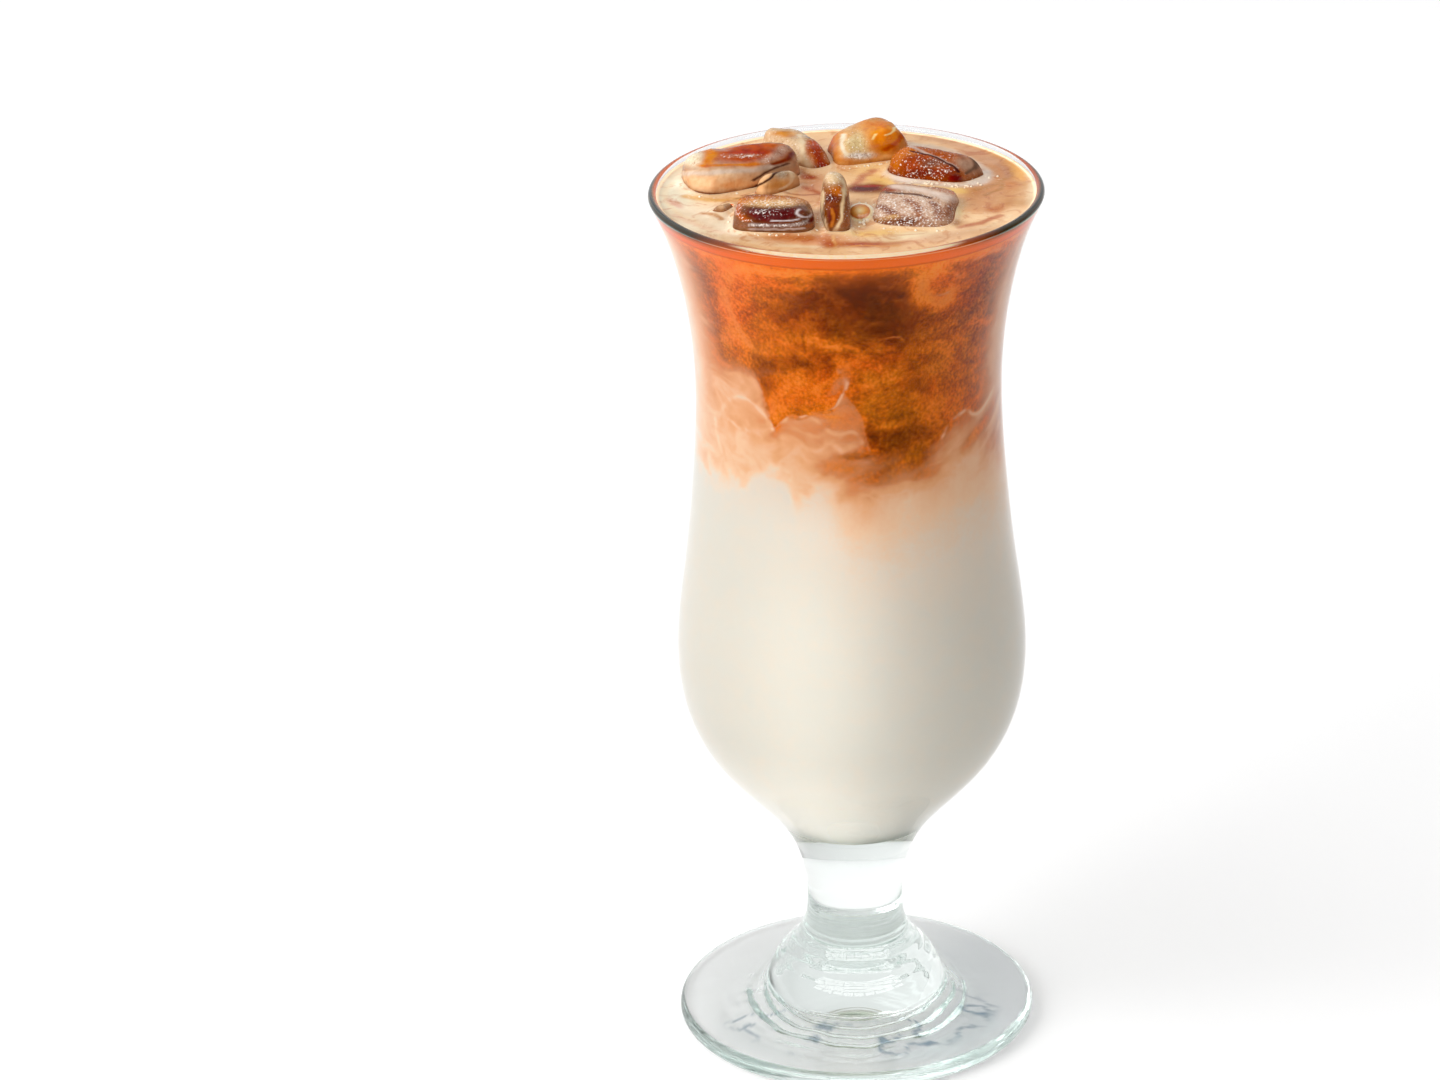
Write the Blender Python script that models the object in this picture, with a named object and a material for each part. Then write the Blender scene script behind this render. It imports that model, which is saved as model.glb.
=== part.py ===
"""An iced latte in its stemmed, waisted glass: milk below, a swirled layer, coffee and crema above, and ice.

Lengths are metres and angles are degrees. +Z is up, the foot stands on z = 0 and the glass's axis is the
Z axis. -Y is the front, and a bearing is counted from the front towards +X.
"""

import math

import bmesh
import bpy
import numpy as np
from mathutils import Euler, Matrix, Vector

# Driving dimensions
GLASS_HEIGHT = 0.1964
LIP_THICKNESS = 0.0018
LIP_OUTER_RADIUS = 0.0420
FOOT_RADIUS = 0.0397
FOOT_EDGE_THICKNESS = 0.0039
FOOT_CREASE = (0.0202, 0.0076)
FOOT_PLATE_DISH = 0.0006
PUNT_RADIUS = 0.0240
PUNT_HEIGHT = 0.0040
FLOOR_HEIGHT = 0.0495

# The outside as (radius, height): lip, waist, belly, stem and the bell above the foot plate
OUTSIDE = (
    (0.0418, 0.1950),
    (0.0390, 0.1885),
    (0.0364, 0.1800),
    (0.0340, 0.1675),
    (0.03295, 0.1530),
    (0.0338, 0.1336),
    (0.0359, 0.1130),
    (0.0382, 0.0920),
    (0.0369, 0.0785),
    (0.0318, 0.0665),
    (0.0221, 0.0550),
    (0.0141, 0.0445),
    (0.0107, 0.0310),
    (0.0126, 0.0198),
    (0.0173, 0.0142),
    FOOT_CREASE,
)
# The inside as (radius, height), from the middle of the floor to the lip
INSIDE = (
    (0.0, FLOOR_HEIGHT),
    (0.0080, 0.0504),
    (0.0150, 0.0536),
    (0.0225, 0.0598),
    (0.0292, 0.0675),
    (0.0343, 0.0785),
    (0.0361, 0.0920),
    (0.0338, 0.1130),
    (0.0318, 0.1336),
    (0.0310, 0.1530),
    (0.0321, 0.1675),
    (0.0344, 0.1800),
    (0.0370, 0.1885),
    (0.0402, 0.1955),
)

SEGMENTS = 40
GAP = 0.0003

# Heights of the drink's layers
DRINK_LEVEL = GLASS_HEIGHT - 0.0014
CREMA_THICKNESS = 0.0022
MENISCUS_RISE = 0.0005
MENISCUS_WIDTH = 0.0016
COFFEE_BOTTOM = 0.1560
MILK_TOP = 0.1385

# The tongue of coffee that hangs down at the front, and the slow rise of each boundary to the left
TONGUE_BEARING = 22.0
TONGUE_WIDTH = 24.0
TONGUE_DEPTH = 0.0125
COFFEE_RISE = 0.0050
MILK_RISE = 0.0025
RISE_BEARING = -80.0
RIPPLE = 0.0014

# A bubble of foam on the crema: where it lies, its radius and its height
BUBBLE_PLACE = (0.0026, -0.0135)
BUBBLE_RADIUS = 0.0024
BUBBLE_HEIGHT = 0.0016

# Each piece of ice: its middle, its size, how far its top stands out of the drink, its turn about the
# axes X, Y and Z, how square it is, and how much narrower it gets towards its top and towards its +X end
ICE = {
    "ice_left": dict(
        at=(-0.0218, 0.0098), size=(0.0246, 0.0138, 0.0150), above=0.0068,
        turn=(7, -3, 16), squareness=4.2, taper=0.05, pinch=0.42,
    ),
    "ice_left_small": dict(
        at=(-0.0145, 0.0022), size=(0.0112, 0.0042, 0.0090), above=0.0044,
        turn=(0, 4, 42), squareness=3.2, taper=0.10, pinch=0.0,
    ),
    "ice_back_left": dict(
        at=(-0.0106, 0.0240), size=(0.0205, 0.0080, 0.0120), above=0.0052,
        turn=(0, 8, -56), squareness=3.2, taper=0.05, pinch=0.0,
    ),
    "ice_back": dict(
        at=(0.0052, 0.0254), size=(0.0174, 0.0140, 0.0180), above=0.0070,
        turn=(8, -14, 16), squareness=4.0, taper=0.04, pinch=0.0,
    ),
    "ice_right": dict(
        at=(0.0190, 0.0112), size=(0.0204, 0.0098, 0.0130), above=0.0056,
        turn=(14, 6, -20), squareness=3.6, taper=0.10, pinch=0.0,
    ),
    "ice_front_left": dict(
        at=(-0.0150, -0.0166), size=(0.0176, 0.0150, 0.0140), above=0.0048,
        turn=(4, 0, -3), squareness=4.6, taper=0.04, pinch=0.0,
    ),
    "ice_front_shard": dict(
        at=(-0.0026, -0.0142), size=(0.0056, 0.0176, 0.0180), above=0.0086,
        turn=(28, 3, 4), squareness=3.0, taper=-0.22, pinch=0.0,
    ),
    "ice_front_right": dict(
        at=(0.0146, -0.0124), size=(0.0184, 0.0204, 0.0120), above=0.0040,
        turn=(13, 2, -7), squareness=5.0, taper=0.04, pinch=0.0,
    ),
    "ice_chip": dict(
        at=(-0.0258, -0.0092), size=(0.0034, 0.0064, 0.0060), above=0.0014,
        turn=(0, 0, -32), squareness=2.8, taper=0.10, pinch=0.0,
    ),
}
ICE_GRID = 4
ICE_WOBBLE = 0.07
ICE_CLEARANCE = 0.0004


def clear_scene():
    for found in list(bpy.data.objects):
        bpy.data.objects.remove(found)


def make_material(name, colour, roughness, transmission=0.0):
    material = bpy.data.materials.new(name)
    material.use_nodes = True
    shader = material.node_tree.nodes["Principled BSDF"]
    shader.inputs["Base Color"].default_value = (*colour, 1.0)
    shader.inputs["Roughness"].default_value = roughness
    shader.inputs["Metallic"].default_value = 0.0
    shader.inputs["Transmission Weight"].default_value = transmission
    material.diffuse_color = (*colour, 1.0)
    return material


def add_object(name, mesh, material):
    made = bpy.data.objects.new(name, mesh)
    bpy.context.scene.collection.objects.link(made)
    mesh.materials.append(material)
    return made


def smooth_curve(stations, steps):
    """Points along a natural cubic spline through the stations, by chord length, steps to a span."""
    stations = np.array(stations, float)
    spans = np.linalg.norm(np.diff(stations, axis=0), axis=1)
    count = len(stations)
    system = np.eye(count)
    pull = np.zeros((count, 2))
    for i in range(1, count - 1):
        before, after = spans[i - 1], spans[i]
        system[i, i - 1 : i + 2] = before, 2 * (before + after), after
        slopes = (stations[i + 1] - stations[i]) / after - (stations[i] - stations[i - 1]) / before
        pull[i] = 6 * slopes
    bend = np.linalg.solve(system, pull)
    points = [stations[0]]
    for i, span in enumerate(spans):
        for step in range(1, steps + 1):
            b = step / steps
            a = 1 - b
            curve = a * stations[i] + b * stations[i + 1]
            curve = curve + ((a**3 - a) * bend[i] + (b**3 - b) * bend[i + 1]) * span**2 / 6
            points.append(curve)
    return np.array(points)


def arc(centre, radius, first, last, steps):
    """Points of a circle about centre, from the angle first to the angle last."""
    angles = np.radians(np.linspace(first, last, steps + 1))
    return np.column_stack((centre[0] + radius * np.cos(angles), centre[1] + radius * np.sin(angles)))


def foot_plate(edge_start, steps):
    """The plate's top from the crease to its edge, dished a little between them."""
    share = np.linspace(0, 1, steps + 2)[1:-1, None]
    line = (1 - share) * np.array(FOOT_CREASE) + share * edge_start
    return line - np.column_stack((0 * share, FOOT_PLATE_DISH * np.sin(math.pi * share)))


def punt(steps):
    """The hollow under the foot, a raised cosine from the flat ring to the axis."""
    radius = np.linspace(PUNT_RADIUS, 0, steps + 1)
    height = PUNT_HEIGHT * (1 + np.cos(math.pi * radius / PUNT_RADIUS)) / 2
    return np.column_stack((radius, height))


def glass_profile():
    """The section from the floor's middle up the inside, over the lip and down the outside to the foot's middle."""
    lip_radius = LIP_THICKNESS / 2
    lip_centre = (LIP_OUTER_RADIUS - lip_radius, GLASS_HEIGHT - lip_radius)
    edge_radius = FOOT_EDGE_THICKNESS / 2
    edge_centre = (FOOT_RADIUS - edge_radius, edge_radius)
    edge = arc(edge_centre, edge_radius, 70, -90, 5)
    return np.vstack(
        (
            smooth_curve(INSIDE, 2)[:-1],
            arc(lip_centre, lip_radius, 180, 0, 5),
            smooth_curve(OUTSIDE, 2),
            foot_plate(edge[0], 2),
            edge,
            punt(5),
        )
    )


def build_glass():
    profile = glass_profile()
    mesh = bpy.data.meshes.new("glass")
    points = [(radius, 0.0, height) for radius, height in profile]
    mesh.from_pydata(points, [(i, i + 1) for i in range(len(points) - 1)], [])
    made = add_object("glass", mesh, make_material("clear_glass", (0.93, 0.97, 0.95), 0.02, 1.0))
    turn = made.modifiers.new("turn", "SCREW")
    turn.steps = SEGMENTS
    turn.render_steps = SEGMENTS
    turn.use_merge_vertices = True
    turn.merge_threshold = 0.00001
    turn.use_smooth_shade = True
    return made


def wall_radius(height):
    """How far the drink reaches at a height: the inside of the glass less the gap."""
    inside = smooth_curve(INSIDE, 6)
    return np.interp(height, inside[:, 1], inside[:, 0]) - GAP


def around(bearing, centre):
    """The angle from centre to bearing, the short way round."""
    return (bearing - centre + 180) % 360 - 180


def coffee_bottom(bearing):
    """The height at the wall where the coffee ends."""
    tongue = np.exp(-((around(bearing, TONGUE_BEARING) / TONGUE_WIDTH) ** 2))
    rise = COFFEE_RISE * np.cos(np.radians(bearing - RISE_BEARING))
    ripple = RIPPLE * np.sin(np.radians(5 * bearing + 40))
    return COFFEE_BOTTOM + rise + ripple - TONGUE_DEPTH * tongue


def milk_top(bearing):
    """The height at the wall where the milk ends."""
    rise = MILK_RISE * np.cos(np.radians(bearing - RISE_BEARING))
    ripple = RIPPLE * np.sin(np.radians(4 * bearing - 60))
    return MILK_TOP + rise + ripple


def level_surface(height):
    return lambda bearing: np.full_like(bearing, height)


def drink_rings(lower, upper, wall_rows, face_rows):
    """Rings of points round a layer: its underside, its wall and its top. A face flattens to its mean inwards."""
    bearing = np.arange(SEGMENTS) * 360 / SEGMENTS
    low, high = lower(bearing), upper(bearing)
    rings = []
    for share in np.linspace(0, 1, face_rows + 1)[1:-1]:
        height = low.mean() + (low - low.mean()) * share**2
        rings.append((share * wall_radius(low), height))
    for share in np.linspace(0, 1, wall_rows + 1):
        height = low + (high - low) * share
        rings.append((wall_radius(height), height))
    for share in np.linspace(1, 0, face_rows + 1)[1:-1]:
        height = high.mean() + (high - high.mean()) * share**2
        rings.append((share * wall_radius(high), height))
    return bearing, rings, low.mean(), high.mean()


def rings_to_mesh(name, bearing, rings, bottom, top):
    """Joins the rings with triangles and closes both ends with fans about a middle point.

    Each pair's diagonals run alike seen from the axis, so that two layers that meet have the same facets.
    """
    mesh = bmesh.new()
    x, y = np.sin(np.radians(bearing)), -np.cos(np.radians(bearing))
    rows = []
    for radius, height in rings:
        radius = np.broadcast_to(radius, x.shape)
        height = np.broadcast_to(height, x.shape)
        rows.append([mesh.verts.new(p) for p in zip(radius * x, radius * y, height)])
    first = mesh.verts.new((0, 0, bottom))
    last = mesh.verts.new((0, 0, top))
    count = len(bearing)
    reach = [np.mean(radius) for radius, height in rings]
    widening = [after > before for before, after in zip(reach, reach[1:])]
    for i in range(count):
        j = (i + 1) % count
        mesh.faces.new((first, rows[0][j], rows[0][i]))
        mesh.faces.new((last, rows[-1][i], rows[-1][j]))
        for (lower, upper), outward in zip(zip(rows, rows[1:]), widening):
            if outward:
                mesh.faces.new((lower[i], lower[j], upper[j]))
                mesh.faces.new((lower[i], upper[j], upper[i]))
            else:
                mesh.faces.new((lower[i], lower[j], upper[i]))
                mesh.faces.new((lower[j], upper[j], upper[i]))
    made = bpy.data.meshes.new(name)
    mesh.to_mesh(made)
    mesh.free()
    return made


def build_milk():
    """The milk rests on the rounded floor, so its rings start at the middle of it."""
    bearing = np.arange(SEGMENTS) * 360 / SEGMENTS
    top = milk_top(bearing) - GAP / 2
    floor = FLOOR_HEIGHT + GAP
    rings = []
    for share in np.linspace(0, 1, 13)[1:]:
        height = floor + (top - floor) * share**1.8
        rings.append((wall_radius(height), height))
    for share in (0.75, 0.45):
        height = top.mean() + (top - top.mean()) * share**2
        rings.append((share * wall_radius(top), height))
    mesh = rings_to_mesh("milk", bearing, rings, floor, top.mean())
    return add_object("milk", mesh, make_material("milk_white", (0.80, 0.77, 0.70), 0.35))


def build_swirl():
    rings = drink_rings(lambda b: milk_top(b) + GAP / 2, lambda b: coffee_bottom(b) - GAP / 2, 3, 3)
    mesh = rings_to_mesh("latte_swirl", *rings)
    return add_object("latte_swirl", mesh, make_material("latte_peach", (0.72, 0.45, 0.27), 0.35))


def build_coffee():
    top = DRINK_LEVEL - CREMA_THICKNESS - GAP
    rings = drink_rings(lambda b: coffee_bottom(b) + GAP / 2, level_surface(top), 6, 3)
    mesh = rings_to_mesh("coffee", *rings)
    return add_object("coffee", mesh, make_material("coffee_brown", (0.30, 0.10, 0.03), 0.3))


def build_crema():
    """The foam on top, drawn up to the glass in a narrow meniscus."""
    bearing = np.arange(SEGMENTS) * 360 / SEGMENTS
    bottom = DRINK_LEVEL - CREMA_THICKNESS
    edge = DRINK_LEVEL + MENISCUS_RISE
    rings = [
        (wall_radius(bottom) * 0.5, bottom),
        (wall_radius(bottom), bottom),
        (wall_radius(DRINK_LEVEL - CREMA_THICKNESS / 2), DRINK_LEVEL - CREMA_THICKNESS / 2),
        (wall_radius(edge), edge),
        (wall_radius(edge) - MENISCUS_WIDTH / 3, DRINK_LEVEL + MENISCUS_RISE / 3),
        (wall_radius(edge) - MENISCUS_WIDTH, DRINK_LEVEL),
        (wall_radius(edge) * 0.5, DRINK_LEVEL),
    ]
    mesh = rings_to_mesh("crema", bearing, rings, bottom, DRINK_LEVEL)
    return add_object("crema", mesh, make_material("crema_tan", (0.78, 0.52, 0.33), 0.4))


def build_bubble():
    """A flattened ball, sunk to its middle in the crema."""
    mesh = bpy.data.meshes.new("bubble")
    ball = bmesh.new()
    bmesh.ops.create_icosphere(ball, subdivisions=2, radius=1.0)
    size = Matrix.Diagonal((BUBBLE_RADIUS, BUBBLE_RADIUS, BUBBLE_HEIGHT, 1))
    bmesh.ops.transform(ball, matrix=size, verts=ball.verts)
    ball.to_mesh(mesh)
    ball.free()
    mesh.transform(Matrix.Translation((*BUBBLE_PLACE, DRINK_LEVEL)))
    return add_object("bubble", mesh, bpy.data.materials["crema_tan"])


def ice_mesh(name, at, size, above, turn, squareness, taper, pinch, grow=0.0):
    """A melted block: a cube drawn in to a rounded one, wavy, narrower at the top, then tilted into place."""
    block = bmesh.new()
    bmesh.ops.create_cube(block, size=2.0)
    bmesh.ops.subdivide_edges(block, edges=block.edges, cuts=ICE_GRID - 1, use_grid_fill=True)
    seed = 1000 * (at[0] + 2 * at[1])
    half = Vector(size) / 2 + Vector((grow, grow, grow))
    for vertex in block.verts:
        u, v, w = vertex.co
        round_off = (abs(u) ** squareness + abs(v) ** squareness + abs(w) ** squareness) ** (1 / squareness)
        waves = math.sin(2.1 * u + 1.7 * v + seed) + math.sin(2.3 * v - 1.9 * w + 2 * seed)
        swell = (1 + ICE_WOBBLE * waves / 2) / round_off
        narrow = 1 - taper * w
        slim = narrow * (1 - pinch * u)
        vertex.co = Vector((u * half.x * narrow, v * half.y * slim, w * half.z)) * swell
    tilt = Euler([math.radians(angle) for angle in turn]).to_matrix().to_4x4()
    bmesh.ops.transform(block, matrix=tilt, verts=block.verts)
    top = max(vertex.co.z for vertex in block.verts)
    lift = DRINK_LEVEL + above + grow - top
    bmesh.ops.translate(block, vec=(*at, lift), verts=block.verts)
    made = bpy.data.meshes.new(name)
    block.to_mesh(made)
    block.free()
    return made


def build_ice():
    clear = make_material("ice_clear", (0.80, 0.62, 0.48), 0.08, 0.6)
    return [add_object(name, ice_mesh(name, **form), clear) for name, form in ICE.items()]


def build_ice_cutters():
    """The ice again, grown by the clearance, which cuts its beds in the drink."""
    cutters = bpy.data.collections.new("ice_cutters")
    bpy.context.scene.collection.children.link(cutters)
    cutters.hide_render = True
    for name, form in ICE.items():
        mesh = ice_mesh(name + "_bed", grow=ICE_CLEARANCE, **form)
        cutter = bpy.data.objects.new(name + "_bed", mesh)
        cutter.hide_render = True
        cutter.display_type = "WIRE"
        cutters.objects.link(cutter)
    return cutters


def cut_beds(made, cutters):
    cut = made.modifiers.new("ice_beds", "BOOLEAN")
    cut.operation = "DIFFERENCE"
    cut.operand_type = "COLLECTION"
    cut.collection = cutters
    cut.solver = "EXACT"


def join_bubble(crema, bubble):
    bubble.hide_render = True
    bubble.display_type = "WIRE"
    join = crema.modifiers.new("bubble", "BOOLEAN")
    join.operation = "UNION"
    join.object = bubble
    join.solver = "EXACT"


def shade(made):
    made.data.shade_smooth()
    made.data.set_sharp_from_angle(angle=math.radians(50))


def main():
    clear_scene()
    build_glass()
    milk, swirl, coffee, crema = build_milk(), build_swirl(), build_coffee(), build_crema()
    pieces = build_ice()
    cutters = build_ice_cutters()
    join_bubble(crema, build_bubble())
    cut_beds(crema, cutters)
    cut_beds(coffee, cutters)
    for made in (milk, swirl, coffee, crema, *pieces):
        shade(made)


main()
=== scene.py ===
import math
from types import SimpleNamespace

import bmesh
import bpy
import numpy as np
from mathutils import Matrix, Vector


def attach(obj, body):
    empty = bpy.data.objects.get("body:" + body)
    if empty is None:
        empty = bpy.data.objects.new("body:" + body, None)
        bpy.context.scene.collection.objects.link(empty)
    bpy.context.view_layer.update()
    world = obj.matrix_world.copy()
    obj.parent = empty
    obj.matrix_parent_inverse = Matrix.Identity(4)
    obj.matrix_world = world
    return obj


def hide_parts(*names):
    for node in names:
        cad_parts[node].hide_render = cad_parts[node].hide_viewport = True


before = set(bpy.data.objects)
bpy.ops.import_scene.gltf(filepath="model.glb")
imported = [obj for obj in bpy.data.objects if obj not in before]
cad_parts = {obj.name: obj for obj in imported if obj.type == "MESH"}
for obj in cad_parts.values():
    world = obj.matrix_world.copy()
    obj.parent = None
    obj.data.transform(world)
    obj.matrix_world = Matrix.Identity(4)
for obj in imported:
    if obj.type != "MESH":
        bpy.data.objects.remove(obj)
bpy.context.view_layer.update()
mm = 0.001
print("frame loaded:", len(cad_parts), "nodes")


# numbers and noise


def splineThrough(stations, steps):
    # natural cubic spline by chord length, steps points to each span
    stations = np.array(stations, float)
    spans = np.linalg.norm(np.diff(stations, axis=0), axis=1)
    count = len(stations)
    system = np.eye(count)
    pull = np.zeros((count, stations.shape[1]))
    for i in range(1, count - 1):
        before, after = spans[i - 1], spans[i]
        system[i, i - 1 : i + 2] = before, 2 * (before + after), after
        pull[i] = (stations[i + 1] - stations[i]) / after - (stations[i] - stations[i - 1]) / before
    bend = np.linalg.solve(system, 6 * pull)
    b = np.tile(np.arange(steps) / steps, count - 1)[:, None]
    a = 1 - b
    i = np.repeat(np.arange(count - 1), steps)
    span = spans[i][:, None]
    curve = a * stations[i] + b * stations[i + 1]
    curve += ((a**3 - a) * bend[i] + (b**3 - b) * bend[i + 1]) * span**2 / 6
    return np.vstack((curve, stations[-1:]))


def smoothStep(low, high, value):
    share = np.clip((value - low) / (high - low), 0, 1)
    return share * share * (3 - 2 * share)


latticeSize = 32
lattice = np.random.default_rng(7).uniform(-1, 1, (latticeSize,) * 3)


def valueNoise(points, size, shift=0.0):
    # random values on a lattice with cells of the given size, blended smoothly between its corners
    cell = points / size + shift
    low = np.floor(cell).astype(int)
    part = cell - low
    part = part * part * (3 - 2 * part)
    total = np.zeros(len(points))
    for corner in np.ndindex(2, 2, 2):
        weight = np.prod(np.where(corner, part, 1 - part), axis=1)
        x, y, z = ((low + corner) % latticeSize).T
        total += weight * lattice[x, y, z]
    return total


def layeredNoise(points, size, octaves=4, shift=0.0):
    # value noise at halving sizes and falling strength
    total, strength = np.zeros(len(points)), 1.0
    for octave in range(octaves):
        total += strength * valueNoise(points, size / 2**octave, shift + 5.3 * octave)
        strength *= 0.5
    return total / 1.6


# meshes


def meshFrom(name, points, faces, smooth=True):
    mesh = bpy.data.meshes.new(name)
    mesh.from_pydata(np.asarray(points).tolist(), [], [face for group in faces for face in group.tolist()])
    if smooth:
        mesh.shade_smooth()
    made = bpy.data.objects.new(name, mesh)
    bpy.context.scene.collection.objects.link(made)
    return made


def gridFaces(rows, columns, around=False, start=0):
    # quads of a grid whose point (row, column) has the number start + row * columns + column
    last = columns if around else columns - 1
    row, column = np.meshgrid(np.arange(rows - 1), np.arange(last), indexing="ij")
    nextColumn = (column + 1) % columns
    here, above = row * columns, (row + 1) * columns
    quads = np.stack((here + column, here + nextColumn, above + nextColumn, above + column), axis=-1)
    return quads.reshape(-1, 4) + start


def fan(ring, middle, flip=False):
    # triangles that close a ring of points at its middle point
    ring = np.asarray(ring)
    nextOne = np.roll(ring, -1)
    middles = np.full(len(ring), middle)
    return np.stack((middles, nextOne, ring) if not flip else (middles, ring, nextOne), axis=-1)


def latheMesh(name, profile, segments, bumpy=None):
    # point = (radius * sin(bearing), -radius * cos(bearing), height): each point (radius, height) of the
    # profile is carried round the axis, bearing 0 is the front, and the profile's two ends lie on the axis
    bearing = np.arange(segments) * 2 * math.pi / segments
    ring = profile[1:-1]
    x = ring[:, :1] * np.sin(bearing)
    y = -ring[:, :1] * np.cos(bearing)
    z = np.repeat(ring[:, 1:], segments, axis=1)
    points = np.stack((x, y, z), axis=-1).reshape(-1, 3)
    if bumpy is not None:
        points = bumpy(points)
    count = len(points)
    ends = np.array([(0, 0, profile[0][1]), (0, 0, profile[-1][1])])
    quads = gridFaces(len(ring), segments, around=True)
    first = fan(np.arange(segments), count)
    last = fan(np.arange(segments) + count - segments, count + 1, flip=True)
    return meshFrom(name, np.vstack((points, ends)), (quads, first, last))


def turnRight(made):
    # faces outwards
    work = bmesh.new()
    work.from_mesh(made.data)
    bmesh.ops.recalc_face_normals(work, faces=work.faces)
    work.to_mesh(made.data)
    work.free()


def meshPoints(made):
    # the mesh's points in mm
    points = np.empty(len(made.data.vertices) * 3)
    made.data.vertices.foreach_get("co", points)
    return points.reshape(-1, 3) / mm


def setValues(made, name, values):
    layer = made.data.attributes.new(name, "FLOAT", "POINT")
    layer.data.foreach_set("value", np.asarray(values, np.float32))


def setColours(made, name, colours):
    layer = made.data.attributes.new(name, "FLOAT_VECTOR", "POINT")
    layer.data.foreach_set("vector", np.asarray(colours, np.float32).ravel())


# shader maths


class Wire:
    # a socket that takes part in Python sums

    def __init__(self, tree, socket):
        self.tree = tree
        self.socket = socket

    def node(self, kind, settings=None, sockets=None, out=0):
        return addNode(self.tree, kind, settings, sockets, out)

    def maths(self, operation, *values):
        return self.node("ShaderNodeMath", {"operation": operation}, dict(enumerate(values)))

    def __add__(self, other):
        return self.maths("ADD", self, other)

    def __sub__(self, other):
        return self.maths("SUBTRACT", self, other)

    def __mul__(self, other):
        return self.maths("MULTIPLY", self, other)

    def __rsub__(self, other):
        return self.maths("SUBTRACT", other, self)

    __radd__ = __add__
    __rmul__ = __mul__

    def between(self, low, high):
        # 0 at low, 1 at high, smooth between
        settings = {"interpolation_type": "SMOOTHSTEP"}
        return self.node("ShaderNodeMapRange", settings, {0: self, 1: low, 2: high, 3: 0.0, 4: 1.0})


def addNode(tree, kind, settings=None, sockets=None, out=0):
    # any node: its settings first, a ramp's stops among them, then the values or links of its sockets
    node = tree.nodes.new(kind)
    for name, value in (settings or {}).items():
        if name == "stops":
            ramp = node.color_ramp
            while len(ramp.elements) < len(value):
                ramp.elements.new(1.0)
            for element, (place, colour) in zip(ramp.elements, value):
                element.position = place
                element.color = (*toLinear(colour), 1)
        else:
            setattr(node, name, value)
    for name, value in (sockets or {}).items():
        if isinstance(value, Wire):
            tree.links.new(value.socket, node.inputs[name])
        elif value is not None:
            node.inputs[name].default_value = value
    return Wire(tree, node.outputs[out])


def toLinear(colour):
    # a screen colour from 0 to 255 as linear light
    share = np.array(colour, float) / 255
    return tuple(np.where(share < 0.04045, share / 12.92, ((share + 0.055) / 1.055) ** 2.4).tolist())


def paint(colour):
    return (*toLinear(colour), 1)


def mixColour(tree, share, first, second, blend="MIX"):
    settings = {"data_type": "RGBA", "blend_type": blend}
    return addNode(tree, "ShaderNodeMix", settings, {0: share, 6: first, 7: second}, 2)


def valueOf(tree, name):
    return addNode(tree, "ShaderNodeAttribute", {"attribute_name": name}, out=2)


def colourOf(tree, name):
    return addNode(tree, "ShaderNodeAttribute", {"attribute_name": name}, out=0)


def rampOf(tree, stops, place):
    return addNode(tree, "ShaderNodeValToRGB", {"stops": stops}, {0: place})


def bumpOf(tree, height, strength, distance):
    sockets = {"Strength": strength, "Distance": distance, "Height": height}
    return addNode(tree, "ShaderNodeBump", None, sockets)


def surfaceOf(tree, sockets):
    return addNode(tree, "ShaderNodeBsdfPrincipled", None, sockets)


def newMaterial(name):
    material = bpy.data.materials.new(name)
    material.use_nodes = True
    material.node_tree.nodes.clear()
    return material, material.node_tree


def finishMaterial(tree, shader, volume=None):
    output = tree.nodes.new("ShaderNodeOutputMaterial")
    tree.links.new(shader.socket, output.inputs["Surface"])
    if volume is not None:
        tree.links.new(volume.socket, output.inputs["Volume"])


def objectPlace(tree):
    return addNode(tree, "ShaderNodeTexCoord", out=3)


def noiseAt(tree, place, scale, detail=3.0, roughness=0.5, distortion=0.0):
    sockets = {"Vector": place, "Scale": scale, "Detail": detail}
    sockets.update({"Roughness": roughness, "Distortion": distortion})
    return addNode(tree, "ShaderNodeTexNoise", None, sockets)


def dress(made, material):
    made.data.materials.clear()
    made.data.materials.append(material)


# the glass: lengths in mm, heights from the floor, and the wall's points as (radius, height)

glassShape = {
    "height": 196.4,
    "lipThickness": 1.8,
    "lipRadius": 42.0,
    "footRadius": 39.7,
    "footEdge": 3.9,
    "footCrease": (20.2, 7.6),
    "footDish": 0.6,
    "puntRadius": 24.0,
    "puntHeight": 4.0,
    "footWave": 0.28,
    "neckRings": 0.08,
    "neckRingStep": 2.4,
    "stemTop": 48.0,
    "wallShine": 0.06,
    "clearShine": 1.0,
    "tint": (190, 226, 214),
    "tintDensity": 7.0,
    "shadeColour": (22, 88, 124),
    "plateShade": 0.12,
    "darkRefractionShade": 0.8,
    "segments": 256,
    "outside": (
        (41.8, 195.0), (39.0, 188.5), (36.4, 180.0), (34.0, 167.5), (32.95, 153.0), (33.8, 133.6),
        (35.9, 113.0), (38.2, 92.0), (36.9, 78.5), (31.8, 66.5), (22.1, 55.0), (14.1, 44.5),
        (10.7, 31.0), (12.6, 19.8), (17.3, 14.2), (20.2, 7.6),
    ),
    "inside": (
        (0.0, 49.5), (8.0, 50.4), (15.0, 53.6), (22.5, 59.8), (29.2, 67.5), (34.3, 78.5), (36.1, 92.0),
        (33.8, 113.0), (31.8, 133.6), (31.0, 153.0), (32.1, 167.5), (34.4, 180.0), (37.0, 188.5),
        (40.2, 195.5),
    ),
}


def circleArc(centre, radius, first, last, steps):
    # centre + radius * (cos, sin) of an angle that runs from first to last in degrees
    angle = np.radians(np.linspace(first, last, steps + 1))
    return np.column_stack((centre[0] + radius * np.cos(angle), centre[1] + radius * np.sin(angle)))


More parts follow.
